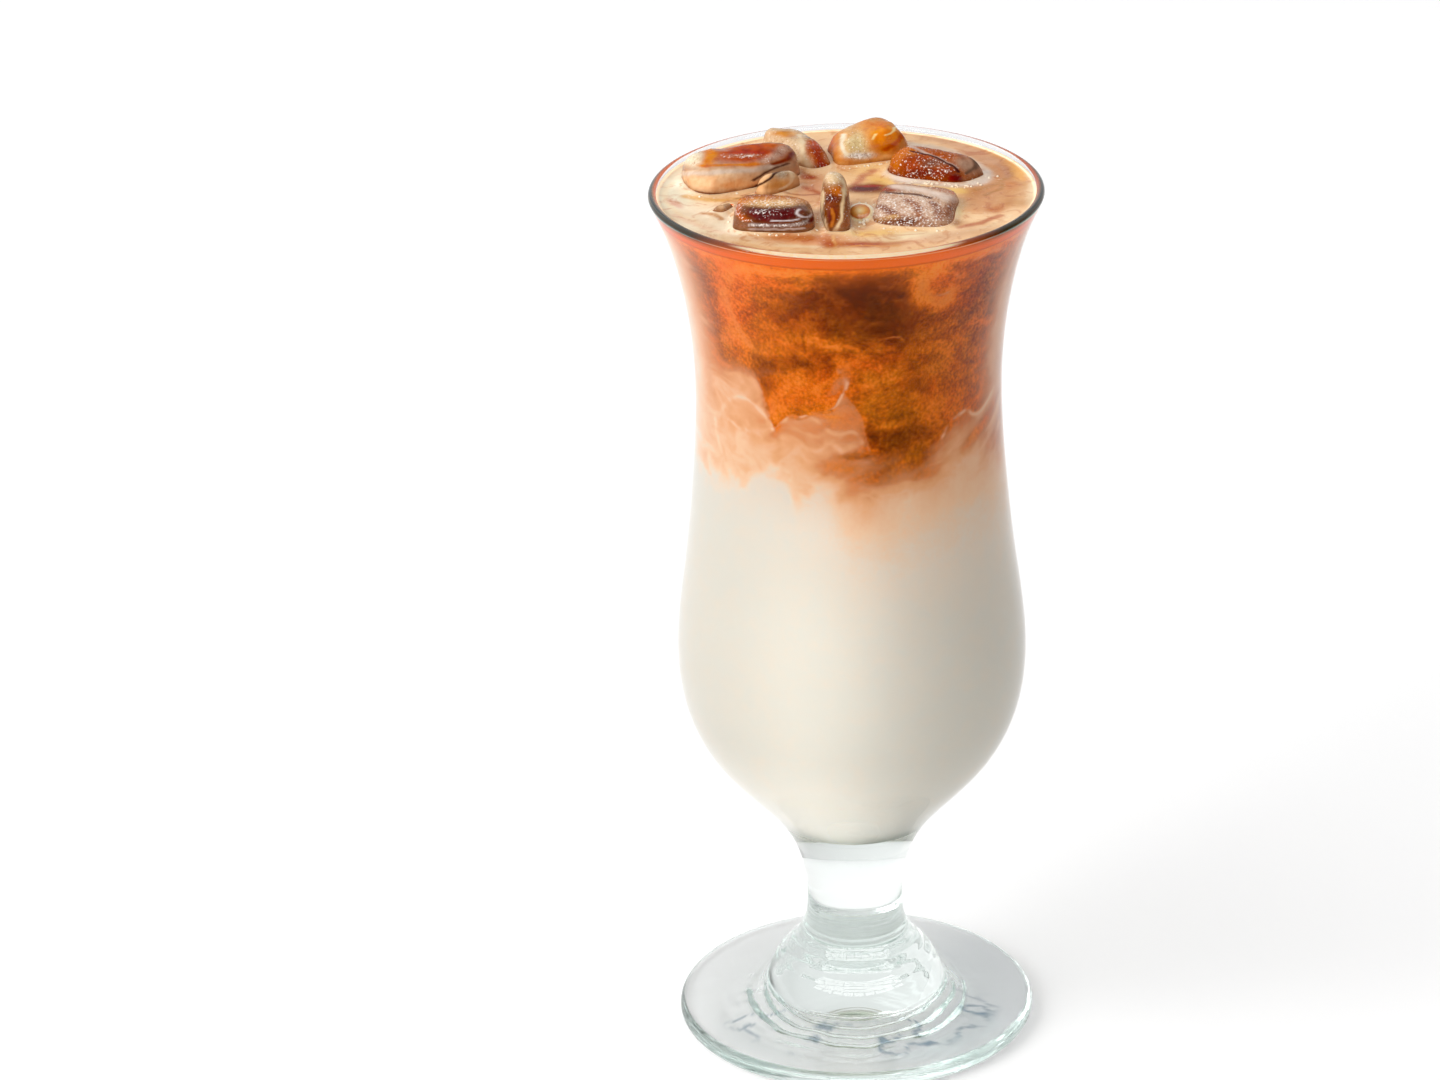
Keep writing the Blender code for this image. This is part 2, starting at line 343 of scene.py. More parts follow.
def glassSection(shape):
    # the profile from the drink's lowest point up the inside, over the lip, down the outside and under the
    # foot; the hollow there is height * (1 + cos(pi * radius / width)) / 2
    lip = shape["lipThickness"] / 2
    edge = shape["footEdge"] / 2
    crease = np.array(shape["footCrease"])
    rim = circleArc((shape["lipRadius"] - lip, shape["height"] - lip), lip, 180, 0, 16)
    footEdge = circleArc((shape["footRadius"] - edge, edge), edge, 70, -90, 18)
    share = np.linspace(0, 1, 22)[1:-1, None]
    plate = (1 - share) * crease + share * footEdge[0]
    plate[:, 1:] -= shape["footDish"] * np.sin(math.pi * share)
    radius = np.linspace(shape["puntRadius"], 0, 61)
    hollow = shape["puntHeight"] * (1 + np.cos(math.pi * radius / shape["puntRadius"])) / 2
    punt = np.column_stack((radius, hollow))
    flat = np.linspace(footEdge[-1], punt[0], 12)[1:-1]
    inside = splineThrough(shape["inside"], 6)[:-1]
    # close steps and faint rings where the stem opens into the foot
    outside = splineThrough(shape["outside"], 42)
    height = outside[:, 1]
    neck = smoothStep(12.5, 14.5, height) * smoothStep(24.5, 22, height)
    outside[:, 0] += shape["neckRings"] * np.sin(2 * math.pi * height / shape["neckRingStep"]) * neck
    outside = outside[np.arange(len(outside)) % np.where(neck > 0, 2, 6) == 0]
    return np.vstack((inside, rim, outside, plate, footEdge, flat, punt))


def glassMaterial(name, shine):
    # shine is how strongly the surface mirrors the room; shade is painted shade, a dark tint where the glass
    # would show the dark around it
    material, tree = newMaterial(name)
    smear = noiseAt(tree, objectPlace(tree), 60.0, 4.0)
    shader = surfaceOf(tree, {
        "Base Color": mixColour(tree, valueOf(tree, "shade"), (1, 1, 1, 1), paint(glassShape["shadeColour"])),
        "Roughness": smear.between(0.55, 0.9) * 0.02,
        "IOR": 1.5,
        "Transmission Weight": 1.0,
        "Specular Tint": (shine, shine, shine, 1),
    })
    body = {"Color": paint(glassShape["tint"]), "Density": glassShape["tintDensity"]}
    finishMaterial(tree, shader, addNode(tree, "ShaderNodeVolumeAbsorption", None, body))
    return material


def footWaves(points):
    # the uneven underside of pressed glass, lifted by wave * (1 + noise + 0.7 * sin(1.9 * radius + noise)):
    # ripples round the edge of the hollow and small dents, and none at the ring that stands on the floor
    x, y, z = points.T / mm
    radius = np.hypot(x, y)
    under = (z < 4.2) & (radius < 29) & (radius > 8)
    spot = np.column_stack((x, y, 0 * z))
    ripples = np.sin(radius * 1.9 + 3.5 * layeredNoise(spot, 9.0, 2, 8.0))
    folds = layeredNoise(spot, 7.0, 3, 4.0) + 0.7 * ripples
    reach = smoothStep(29, 25, radius) * smoothStep(8, 15, radius)
    points = points.copy()
    points[under, 2] += (glassShape["footWave"] * (1 + folds) * reach * mm)[under]
    return points


def lipShade(x, y, z):
    # painted shade, standing in for the dark the lip reflects: the lip is dark at its sides, paler behind and
    # clear in front
    bearing = np.abs(np.degrees(np.arctan2(x, -y)))
    lip = smoothStep(194.6, 195.3, z) * smoothStep(40.7, 41.3, np.hypot(x, y))
    return lip * smoothStep(24, 52, bearing) * (0.3 + 0.7 * smoothStep(128, 95, bearing))


def footShade(x, y, z):
    # painted shade: the plate is greyer on its right, where the glass's own shadow falls, and dark lines of
    # painted refraction wander through it in front, where a noise is near zero
    bearing, radius = np.degrees(np.arctan2(x, -y)), np.hypot(x, y)
    right = smoothStep(-10, 50, bearing) * smoothStep(170, 120, bearing)
    plate = smoothStep(19, 25, radius) * smoothStep(12, 8, z) * right
    wander = np.abs(layeredNoise(np.column_stack((x, 1.6 * y, 0 * x)), 9.0, 3, 14.0))
    veinsAndPaintedRefraction = smoothStep(0.10, 0.03, wander) * smoothStep(20, 23, radius) * smoothStep(35, 31, radius)
    veinsAndPaintedRefraction *= smoothStep(84, 66, np.abs(bearing)) * (z > 3) * (z < 12)
    return glassShape["plateShade"] * plate + glassShape["darkRefractionShade"] * veinsAndPaintedRefraction


def makeGlass():
    shape = glassShape
    made = latheMesh("glassBody", glassSection(shape) * mm, shape["segments"], footWaves)
    turnRight(made)
    # the wall round the drink hardly mirrors the room; the lip, the stem and the foot do
    dress(made, glassMaterial("wallGlass", shape["wallShine"]))
    made.data.materials.append(glassMaterial("clearGlass", shape["clearShine"]))
    x, y, z = meshPoints(made).T
    setValues(made, "shade", lipShade(x, y, z) + footShade(x, y, z))
    middles = np.empty(len(made.data.polygons) * 3)
    made.data.polygons.foreach_get("center", middles)
    x, y, z = middles.reshape(-1, 3).T / mm
    lip = (z > 195.7) | ((z > 192.0) & (y > -5)) | ((z > 194.4) & (np.hypot(x, y) < 40.8))
    made.data.polygons.foreach_set("material_index", ((z < shape["stemTop"]) | lip).astype(int))
    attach(made, "root")
    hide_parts("glass")
    print("glass made:", len(made.data.polygons), "faces")


# the drink's layers: lengths in mm, bearings in degrees from the front

drinkShape = {
    "level": 195.0,
    "cremaDepth": 2.2,
    "reach": 0.15,
    "segments": 560,
    "milkRows": 140,
    "swirlRows": 70,
    "coffeeRows": 150,
    "coffeeBottom": 156.0,
    "milkTop": 138.5,
    "coffeeRise": 5.0,
    "milkRise": 2.5,
    "riseBearing": -80.0,
    "ripple": 1.4,
    "tongueBearing": 22.0,
    "tongueWidth": 24.0,
    "tongueDepth": 12.5,
    "topGlow": (104, 44, 0),
    "lowGlow": (138, 136, 130),
    "litGlow": (106, 104, 98),
}

insideCurve = splineThrough(glassShape["inside"], 12)


def wallRadius(height):
    # how far the drink reaches: just into the glass
    return np.interp(height, insideCurve[:, 1], insideCurve[:, 0]) + drinkShape["reach"]


def bearingGap(bearing, centre):
    return (bearing - centre + 180) % 360 - 180


def coffeeBottom(bearing):
    # height + rise * cos(bearing) + ripple * sin(5 * bearing) - tongue * exp(-(bearing / width)^2)
    shape = drinkShape
    tongue = np.exp(-((bearingGap(bearing, shape["tongueBearing"]) / shape["tongueWidth"]) ** 2))
    rise = shape["coffeeRise"] * np.cos(np.radians(bearing - shape["riseBearing"]))
    ripple = shape["ripple"] * np.sin(np.radians(5 * bearing + 40))
    return shape["coffeeBottom"] + rise + ripple - shape["tongueDepth"] * tongue


def foamBottom(bearing):
    return np.full_like(bearing, drinkShape["level"] - drinkShape["cremaDepth"])


def milkTop(bearing):
    # height + rise * cos(bearing) + ripple * sin(4 * bearing)
    shape = drinkShape
    rise = shape["milkRise"] * np.cos(np.radians(bearing - shape["riseBearing"]))
    return shape["milkTop"] + rise + shape["ripple"] * np.sin(np.radians(4 * bearing - 60))


# where the milk ends and where the coffee begins, as (bearing, height) all the way round
milkEdge = (
    (-180, 139), (-150, 142), (-120, 138), (-95, 141), (-80, 137), (-65, 136), (-50, 138), (-40, 139.5),
    (-35, 141.5), (-30, 142.5), (-27, 141.5), (-24, 139.5), (-20.5, 136.5), (-18, 137.5), (-15, 140),
    (-12, 141.5), (-9, 141), (-6, 139), (-3, 136.5), (0, 135), (5, 135.5), (10, 137), (20, 138.5),
    (30, 140), (45, 142), (55, 142), (70, 140), (90, 140), (120, 137), (150, 142), (180, 139),
)
coffeeEdge = (
    (-180, 154), (-165, 159), (-150, 153), (-135, 157), (-120, 166), (-105, 160), (-90, 164), (-75, 166),
    (-64, 167), (-54, 166), (-44, 168), (-37, 166), (-34, 160), (-31, 154.5), (-28.5, 153), (-26, 154.8),
    (-22.5, 156.3), (-19, 156.2), (-14, 157.5), (-8, 158.2), (-4.5, 159.8), (-1.5, 162.6), (0, 162),
    (2.5, 159.5), (5, 156.5), (6.5, 152), (8.5, 150), (12, 148.5), (18, 147.5), (24, 146.5), (29, 147),
    (33, 149), (37, 151), (43, 152.2), (48, 153.2), (51, 153.2), (54, 151.8), (58, 151.3), (63, 152),
    (70, 154), (80, 160), (92, 156), (104, 150), (118, 157), (132, 162), (146, 152), (160, 148),
    (170, 151), (180, 154),
)

# patches: bearing and height, half width in degrees and half height in mm, lean, and what they pull towards:
# how dark the coffee is, how milky it is, and how olive it is
swirlPatches = (
    # the dark heart
    dict(at=(6, 185), size=(17, 8.5), lean=-6, dark=1.0, veil=0.0, olive=0.15, pull=1.0),
    dict(at=(-6, 181), size=(9, 6), lean=25, dark=0.72, veil=0.0, olive=0.25, pull=0.8),
    dict(at=(27, 177.5), size=(20, 5), lean=-8, dark=0.66, veil=0.04, olive=0.5, pull=0.85),
    dict(at=(12, 178), size=(14, 4.5), lean=0, dark=0.9, veil=0.0, olive=0.3, pull=0.7),
    dict(at=(36, 170), size=(12, 9), lean=0, dark=0.40, veil=0.16, olive=0.6, pull=0.7),
    dict(at=(26, 184.4), size=(4, 2.6), lean=0, dark=0.0, veil=0.06, olive=0.2, pull=0.9),
    dict(at=(31, 186), size=(3.0, 1.8), lean=20, dark=0.60, veil=0.22, olive=0.2, pull=0.85),
    dict(at=(-12, 170.8), size=(6, 1.8), lean=0, dark=0.18, veil=0.0, olive=0.5, pull=0.7),
    dict(at=(42, 160), size=(14, 6), lean=0, dark=0.45, veil=0.22, olive=0.3, pull=0.75),
    # orange at the upper left
    dict(at=(-27, 188.5), size=(14, 3.0), lean=0, dark=0.12, veil=0.0, olive=0.0, pull=0.85),
    dict(at=(-30, 178), size=(10, 7), lean=10, dark=0.40, veil=0.0, olive=0.45, pull=0.8),
    dict(at=(-22, 183), size=(6, 3), lean=0, dark=0.58, veil=0.0, olive=0.5, pull=0.6),
    dict(at=(-42, 186), size=(9, 9), lean=0, dark=0.16, veil=0.05, olive=0.0, pull=0.92),
    dict(at=(-43, 174), size=(7, 8), lean=0, dark=0.20, veil=0.03, olive=0.0, pull=0.8),
    dict(at=(-36, 184.5), size=(7, 5), lean=0, dark=0.18, veil=0.0, olive=0.0, pull=0.8),
    dict(at=(-6, 172.4), size=(6, 1.5), lean=0, dark=0.20, veil=0.0, olive=0.3, pull=0.8),
    dict(at=(7, 171.4), size=(8, 1.8), lean=0, dark=0.30, veil=0.04, olive=0.6, pull=0.7),
    dict(at=(-27, 174), size=(9, 4), lean=0, dark=0.26, veil=0.0, olive=0.5, pull=0.6),
    dict(at=(-15, 176), size=(6, 3), lean=0, dark=0.30, veil=0.0, olive=0.5, pull=0.6),
    dict(at=(2, 175.5), size=(6, 2.4), lean=0, dark=0.36, veil=0.0, olive=0.6, pull=0.6),
    # brown blotches under the light bit
    dict(at=(-9, 170.8), size=(8, 1.3), lean=4, dark=0.80, veil=0.0, olive=0.2, pull=0.75),
    dict(at=(-24, 169.2), size=(7, 1.6), lean=-8, dark=0.60, veil=0.0, olive=0.3, pull=0.7),
    # amber
    dict(at=(-19, 163), size=(12, 4.6), lean=6, dark=0.20, veil=0.0, olive=0.25, pull=0.95),
    dict(at=(-26, 158), size=(5, 4), lean=0, dark=0.16, veil=0.05, olive=0.1, pull=0.8),
    dict(at=(-12, 160.5), size=(8, 2.0), lean=6, dark=0.12, veil=0.12, olive=0.4, pull=0.6),
    # the tongue
    dict(at=(13, 166), size=(9, 2.2), lean=0, dark=0.22, veil=0.10, olive=1.0, pull=0.75),
    dict(at=(30, 171.3), size=(8, 1.3), lean=-4, dark=0.34, veil=0.22, olive=0.6, pull=0.65),
    dict(at=(16, 159), size=(12, 6), lean=-10, dark=0.46, veil=0.0, olive=1.0, pull=0.7),
    dict(at=(21, 156.4), size=(6, 0.9), lean=0, dark=0.74, veil=0.0, olive=1.0, pull=0.7),
    dict(at=(17, 154.4), size=(7, 0.9), lean=3, dark=0.32, veil=0.0, olive=0.9, pull=0.6),
    dict(at=(17, 151), size=(7, 2.0), lean=-10, dark=0.72, veil=0.0, olive=0.9, pull=0.8),
    dict(at=(30, 152.6), size=(6, 1.2), lean=8, dark=0.68, veil=0.05, olive=0.8, pull=0.6),
    dict(at=(24, 147), size=(8, 3), lean=0, dark=0.44, veil=0.15, olive=0.9, pull=0.8),
    dict(at=(0, 148.3), size=(6, 0.9), lean=0, dark=0.60, veil=0.12, olive=0.8, pull=0.75),
    dict(at=(-3, 145), size=(10, 3.4), lean=0, dark=0.30, veil=0.30, olive=0.8, pull=0.8),
    dict(at=(0, 140), size=(5, 3.4), lean=0, dark=0.25, veil=0.52, olive=0.7, pull=0.7),
    dict(at=(12, 144.5), size=(12, 4), lean=-10, dark=0.42, veil=0.28, olive=0.7, pull=0.75),
    dict(at=(29, 142), size=(13, 3), lean=5, dark=0.36, veil=0.34, olive=0.8, pull=0.7),
    # milk drawn up and along
    dict(at=(-3, 165), size=(3.4, 4.0), lean=-35, dark=0.2, veil=0.52, olive=0.0, pull=0.85),
    dict(at=(-2, 169), size=(2.0, 2.6), lean=0, dark=0.3, veil=0.34, olive=0.3, pull=0.6),
    dict(at=(-29.5, 157.5), size=(2.0, 2.0), lean=0, dark=0.12, veil=0.22, olive=0.0, pull=0.8),
    dict(at=(41, 187), size=(9, 3.2), lean=10, dark=0.25, veil=0.42, olive=0.0, pull=0.75),
    dict(at=(31, 187.5), size=(3.2, 2.0), lean=0, dark=0.25, veil=0.40, olive=0.0, pull=0.85),
    dict(at=(-16, 154.5), size=(5, 1.6), lean=8, dark=0.2, veil=0.50, olive=0.5, pull=0.7),
    dict(at=(-44, 154.5), size=(8, 2.2), lean=0, dark=0.2, veil=0.62, olive=0.2, pull=0.7),
    dict(at=(-1, 154), size=(6, 4.0), lean=-20, dark=0.25, veil=0.50, olive=0.0, pull=0.8),
    dict(at=(49, 147), size=(16, 4.0), lean=3, dark=0.25, veil=0.56, olive=0.9, pull=0.9),
    dict(at=(40, 156), size=(13, 5), lean=-4, dark=0.30, veil=0.34, olive=0.5, pull=0.75),
    dict(at=(43, 168), size=(11, 7), lean=0, dark=0.30, veil=0.24, olive=0.6, pull=0.7),
)

# threads: points as (bearing, height), half width in mm, and what they pull towards
swirlThreads = (
    # crests of milk
    dict(
        path=(
            (-28.5, 153), (-26, 154.8), (-22.5, 156.3), (-19, 156.2), (-14, 157.5), (-8, 158.2),
            (-4.5, 159.8), (-1.5, 162.6), (0, 165),
        ),
        width=0.36, dark=0.2, veil=0.80, pull=0.85,
    ),
    dict(
        path=((-0.5, 164), (0.5, 161.8), (2.5, 159.5), (5, 156.5), (6.5, 152), (8.5, 148.8)),
        width=0.28, dark=0.2, veil=0.64, pull=0.45,
    ),
    dict(path=((-4, 168), (-1.5, 166.5), (-0.5, 164)), width=0.6, dark=0.2, veil=0.55, pull=0.5),
    dict(
        path=((-56, 153.5), (-50, 157), (-43, 158.2), (-37, 157), (-33, 155), (-30, 152.5)),
        width=0.55, dark=0.2, veil=0.90, pull=0.85,
    ),
    dict(
        path=((-52, 151.8), (-45, 151), (-40, 151.2), (-35, 150.2)),
        width=0.45, dark=0.2, veil=0.90, pull=0.9,
    ),
    dict(path=((-62, 150), (-58, 144), (-52, 140), (-46, 137)), width=0.7, dark=0.2, veil=0.92, pull=0.7),
    dict(
        path=((-14, 156.5), (-9, 154), (-4, 153), (1, 153.5), (5, 151)),
        width=0.5, dark=0.2, veil=0.74, pull=0.5,
    ),
    dict(path=((-18, 150), (-12, 149), (-7, 150.5), (-3, 149)), width=0.6, dark=0.2, veil=0.78, pull=0.5),
    dict(
        path=((-35.5, 166), (-34.5, 161), (-33.5, 157), (-31.5, 153.5)),
        width=0.35, dark=0.1, veil=0.34, pull=0.6,
    ),
    dict(path=((-33.6, 160), (-32.5, 157), (-30.6, 153.6)), width=0.3, dark=0.2, veil=0.78, pull=0.6),
    dict(
        path=(
            (37, 149.5), (43, 152.2), (48, 153.4), (51, 153.4), (54, 151.9), (58, 151.3), (63, 152),
            (72, 154.5),
        ),
        width=0.5, dark=0.2, veil=0.84, pull=0.85,
    ),
    dict(
        path=((-60, 147), (-52, 148), (-40, 146.5), (-30, 149)),
        width=1.2, dark=0.2, veil=0.86, pull=0.35,
    ),
    dict(
        path=((-64, 143), (-54, 141), (-46, 142.5), (-38, 144.5)),
        width=1.4, dark=0.2, veil=0.90, pull=0.35,
    ),
    dict(path=((-26, 151), (-24, 146), (-21, 141), (-20.5, 136)), width=1.0, dark=0.2, veil=0.70, pull=0.5),
    # light arcs
    dict(
        path=((-41, 186), (-39, 189), (-34, 190.8), (-27, 191.2), (-20, 190.9), (-14, 192.2)),
        width=1.15, dark=0.0, veil=0.15, pull=0.95,
    ),
    dict(
        path=((-44.5, 181), (-43.8, 177.5), (-41, 174), (-37.5, 171.5)),
        width=1.1, dark=0.0, veil=0.20, pull=0.95,
    ),
    dict(
        path=((-46, 184), (-46.2, 178), (-44, 172.5), (-40, 169.5)),
        width=1.6, dark=0.06, veil=0.12, pull=0.6,
    ),
    dict(
        path=((27, 190.6), (24.5, 188.8), (24.6, 186), (28, 183.2), (32, 182), (35.5, 182.2), (36.5, 184)),
        width=2.3, dark=0.0, veil=0.10, pull=1.1,
    ),
    dict(path=((29, 184.6), (32, 183.9), (35, 184)), width=0.5, dark=0.0, veil=0.42, pull=0.8),
    dict(path=((30, 190), (35, 189), (38, 187.5)), width=0.5, dark=0.1, veil=0.45, pull=0.5),
    dict(path=((43, 190.8), (48, 191.5), (54, 191), (60, 190)), width=0.6, dark=0.1, veil=0.55, pull=0.6),
    dict(
        path=((-12.5, 175.4), (-9, 174.8), (-6, 173.9), (-1, 173.6), (3, 172.8)),
        width=0.75, dark=0.10, veil=0.04, pull=0.9,
    ),
    dict(path=((-12, 175.2), (-14.5, 173.5), (-14, 171.4)), width=0.55, dark=0.16, veil=0.0, pull=0.8),
    dict(
        path=((3, 173.9), (8, 174.6), (14, 174.9), (18, 174.8), (20.5, 173.2)),
        width=0.22, dark=0.3, veil=0.42, pull=0.75,
    ),
    dict(path=((24, 166), (29, 164.8), (36, 165.4)), width=0.6, dark=0.4, veil=0.18, pull=0.4),
    dict(path=((22, 160.5), (30, 160), (40, 161)), width=0.7, dark=0.4, veil=0.16, pull=0.4),
    # the dark red crack
    dict(
        path=((-7.5, 188), (-9.5, 183), (-13, 179.5), (-15.5, 175.5), (-15.8, 172)),
        width=0.22, dark=0.95, veil=0.0, pull=0.6,
    ),
    dict(
        path=((-36, 186), (-30, 187.5), (-24, 186.6), (-18, 187.2)),
        width=0.4, dark=0.5, veil=0.0, pull=0.35,
    ),
    dict(path=((46, 189.5), (49, 187.5), (51, 184)), width=0.5, dark=0.6, veil=0.25, pull=0.5),
)


mmPerDegree = math.radians(33.5)  # along the wall, at the drink's usual radius
lowPatches = 158  # patches up to this height show over the milk too
wideThread = 0.7  # wider threads than this are smoother


def swirlFlow(points, size, reach, steps, shift):
    # carries points back along a swirling, divergence-free flow on the wall: its stream function is noise
    bearing = np.arctan2(points[:, 0], -points[:, 1])
    height = points[:, 2].copy()
    radius = np.hypot(points[:, 0], points[:, 1])
    small = 0.05 * size

    def stream(b, z):
        where = np.column_stack((radius * np.sin(b), -radius * np.cos(b), 1.5 * z))
        return layeredNoise(where, size, 2, shift)

    for _ in range(steps):
        here = stream(bearing, height)
        alongZ = (stream(bearing, height + small) - here) / small
        alongB = (stream(bearing + small / radius, height) - here) / small
        bearing = bearing + reach * alongZ / radius
        height = height - reach * alongB
    return bearing, height, radius


def distanceToPath(x, z, path):
    # shortest distance in mm on the unrolled wall to a smooth line through the path's points
    line = splineThrough(path, 6)
    best = np.full(len(x), 1e9)
    for (ax, az), (bx, bz) in zip(line[:-1], line[1:]):
        length = (bx - ax) ** 2 + (bz - az) ** 2
        t = np.clip(((x - ax) * (bx - ax) + (z - az) * (bz - az)) / length, 0, 1)
        best = np.minimum(best, (x - ax - t * (bx - ax)) ** 2 + (z - az - t * (bz - az)) ** 2)
    return np.sqrt(best)


def patchCover(patch, bearing, height, lean):
    # pull * exp(-(along^2 + across^2)^1.4), along and across the patch's own leaning ellipse
    x = bearingGap(bearing, patch["at"][0]) * mmPerDegree
    z = height - patch["at"][1]
    lean = math.radians(lean)
    along = (x * math.cos(lean) + z * math.sin(lean)) / (patch["size"][0] * mmPerDegree)
    across = (z * math.cos(lean) - x * math.sin(lean)) / patch["size"][1]
    return patch["pull"] * np.exp(-((along**2 + across**2) ** 1.4))


def drinkNoise(points):
    # every noise behind the swirls; some of it is read where the flow carries a point back to
    bearing, height, radius = swirlFlow(points, 13.0, 4.5, 6, 0.0)
    where = np.column_stack((radius * np.sin(bearing), -radius * np.cos(bearing), height))
    rough = layeredNoise(where * (1, 1, 1.6), 6.0, 5, 3.0)
    return SimpleNamespace(
        streaks=layeredNoise(where * (1, 1, 2.6), 15.0, 4, 9.0),
        rough=rough,
        fine=layeredNoise(points, 2.2, 3, 6.0),
        small=layeredNoise(where * (1, 1, 1.3), 4.6, 5, 17.0),
        wisps=np.clip(1 - 5 * np.abs(layeredNoise(where * (1, 1, 1.8), 9.0, 4, 23.0)), 0, 1),
        mottle=np.clip(0.92 + 0.35 * layeredNoise(points * (1, 1, 1.4), 3.6, 4, 21.0), 0.3, 1),
        # how far patches are shaken sideways and upwards, and how far lines are
        shakeB=2.6 * layeredNoise(points, 5.0, 4, 1.7) + 2.0 * rough,
        shakeZ=1.1 * layeredNoise(points, 4.0, 4, 4.1) + 0.6 * rough,
        lineB=1.0 * layeredNoise(points, 3.0, 3, 8.3),
        lineZ=0.35 * layeredNoise(points, 2.5, 3, 2.9),
    )


def coffeeSwirls(points, degrees, front, noise):
    # dark, veil and olive before any milk comes up: slow streaks, then the patches, then a painted reflection
    # at the sides and the foam's painted light
    level, rough, streaks = points[:, 2], noise.rough, noise.streaks
    dark = 0.45 + 0.42 * streaks + 0.25 * rough
    dark = dark + 0.15 * smoothStep(158, 178, level)
    dark = dark + 0.16 * layeredNoise(points * (1, 1, 1.5), 3.2, 3, 13.0)
    olive = np.clip(0.4 + 0.9 * layeredNoise(points, 12.0, 2, 11.0), 0, 1)
    veil = np.clip(0.55 * streaks - 0.05 + 0.35 * rough, 0, 0.6)
    for patch in swirlPatches:
        near = patchCover(patch, degrees + noise.shakeB, level + noise.shakeZ, patch["lean"])
        near *= front * noise.mottle
        dark += near * (patch["dark"] - dark)
        veil += near * (patch["veil"] - veil)
        olive += near * (patch["olive"] - olive)
    # small swirls over all
    dark += 0.20 * noise.small
    wisps = 0.14 * noise.wisps * smoothStep(0.45, 0.2, dark) * front
    veil += 0.09 * noise.small * smoothStep(0.1, 0.4, veil) + wisps
    # towards the sides the coffee pales: a painted reflection of the pale room where the glass is seen
    # edge-on
    side = smoothStep(42, 78, np.abs(degrees + 2)) * (1 - smoothStep(100, 150, np.abs(degrees)))
    veil += side * (0.80 + 0.12 * rough - veil) * (1 - 0.2 * smoothStep(186, 195, level))
    # painted light: the foam's orange light under the rim, as bright orange coffee
    band = smoothStep(189.5, 193.6, level + 1.2 * streaks + 0.4 * rough)
    dark += band * (0.04 - dark)
    veil += band * 0.85 * (0.5 * side - veil)
    olive += band * (0.1 - olive)
    return dark, veil, olive


def mixMilk(points, degrees, front, noise, dark, veil):
    # below the coffee's edge all is milky, sharp at its crest, and below the milk's edge it is milk
    level, rough = points[:, 2], noise.rough
    coffee = splineThrough(coffeeEdge, 12)
    milk = splineThrough(milkEdge, 12)
    wisp = layeredNoise(points * (1, 1, 2.0), 4.0, 5, 37.0)
    crest = np.interp(degrees + noise.lineB, coffee[:, 0], coffee[:, 1]) + noise.lineZ
    base = np.interp(degrees + 0.6 * noise.shakeB, milk[:, 0], milk[:, 1]) + 0.5 * noise.shakeZ + 2.6 * wisp
    below = crest - level
    sharp = 0.9 + 5.0 * smoothStep(6, 14, degrees) * smoothStep(46, 36, degrees)
    sharp = sharp + 5.5 * smoothStep(-33, -43, degrees)
    depth = np.clip(below / np.maximum(crest - base, 1.0), 0, 1.4)
    veiled = 0.50 + 0.30 * depth + 0.10 * rough + 0.05 * noise.fine + 0.16 * noise.small
    veiled += 0.10 * (noise.wisps - 0.4)
    tongue = np.exp(-((bearingGap(degrees, 15) / 17) ** 2))
    veiled -= 0.20 * tongue * (1 - depth)
    veil += smoothStep(-0.3 * sharp, sharp, below) * (np.maximum(veiled, veil) - veil)
    # the low patches again, over the milk
    for patch in swirlPatches:
        if patch["at"][1] > lowPatches:
            continue
        near = patchCover(patch, degrees + noise.shakeB, level + noise.shakeZ, 0)
        near *= front * noise.mottle
        dark += near * (patch["dark"] - dark)
        veil += near * (patch["veil"] - veil)
    # brushed upwards to the right where coffee and milk meet
    along = degrees * mmPerDegree + 0.45 * level
    across = level - 0.45 * degrees * mmPerDegree
    brushing = layeredNoise(np.column_stack((0.22 * along, across, 0 * level)), 3.0, 4, 27.0)
    meeting = np.exp(-(((level - 146) / 7.5) ** 2))
    meeting *= smoothStep(-14, -2, degrees) * smoothStep(90, 70, degrees)
    veil += 0.30 * brushing * meeting
    dark += 0.28 * brushing * meeting
    soft = 3.0 + 3.0 * smoothStep(-16, 6, degrees)
    veil += smoothStep(soft, -soft, level - base) * (0.99 + 0.02 * rough - veil)
    # coffee sinks into the milk in soft upright streaks, more of it on the right
    falls = layeredNoise(points * (1, 1, 0.22), 6.0, 4, 31.0)
    reach = np.exp(-np.clip(base - level - 4 + 6 * falls, 0, None) / 11)
    right = smoothStep(-26, 16, degrees) * (0.20 + 0.05 * smoothStep(20, 50, degrees))
    right *= smoothStep(150, 110, degrees)
    creep = reach * (0.04 + right) * smoothStep(-60, -30, degrees)
    veil -= creep * (1 + 0.6 * falls)


def drawThreads(points, degrees, noise, dark, veil):
    # pull * exp(-(distance / width)^2) round each thread, broken up by noise
    x, z = (degrees + noise.lineB) * mmPerDegree, points[:, 2] + noise.lineZ
    for thread in swirlThreads:
        path = np.array(thread["path"]) * (mmPerDegree, 1)
        reach = 4 * thread["width"] + 1
        close = (np.abs(degrees) < 80) & (x > path[:, 0].min() - reach) & (x < path[:, 0].max() + reach)
        close &= (z > path[:, 1].min() - reach) & (z < path[:, 1].max() + reach)
        away = distanceToPath(x[close], z[close], path) / thread["width"]
        rough, fine = noise.rough[close], noise.fine[close]
        broken = 0.9 * rough if thread["width"] > wideThread else 1.6 * rough + 0.8 * fine - 0.12
        near = thread["pull"] * np.exp(-(away**2)) * np.clip(0.88 + broken, 0.1, 1)
        dark[close] += near * (thread["dark"] - dark[close])
        veil[close] += near * (thread["veil"] - veil[close])


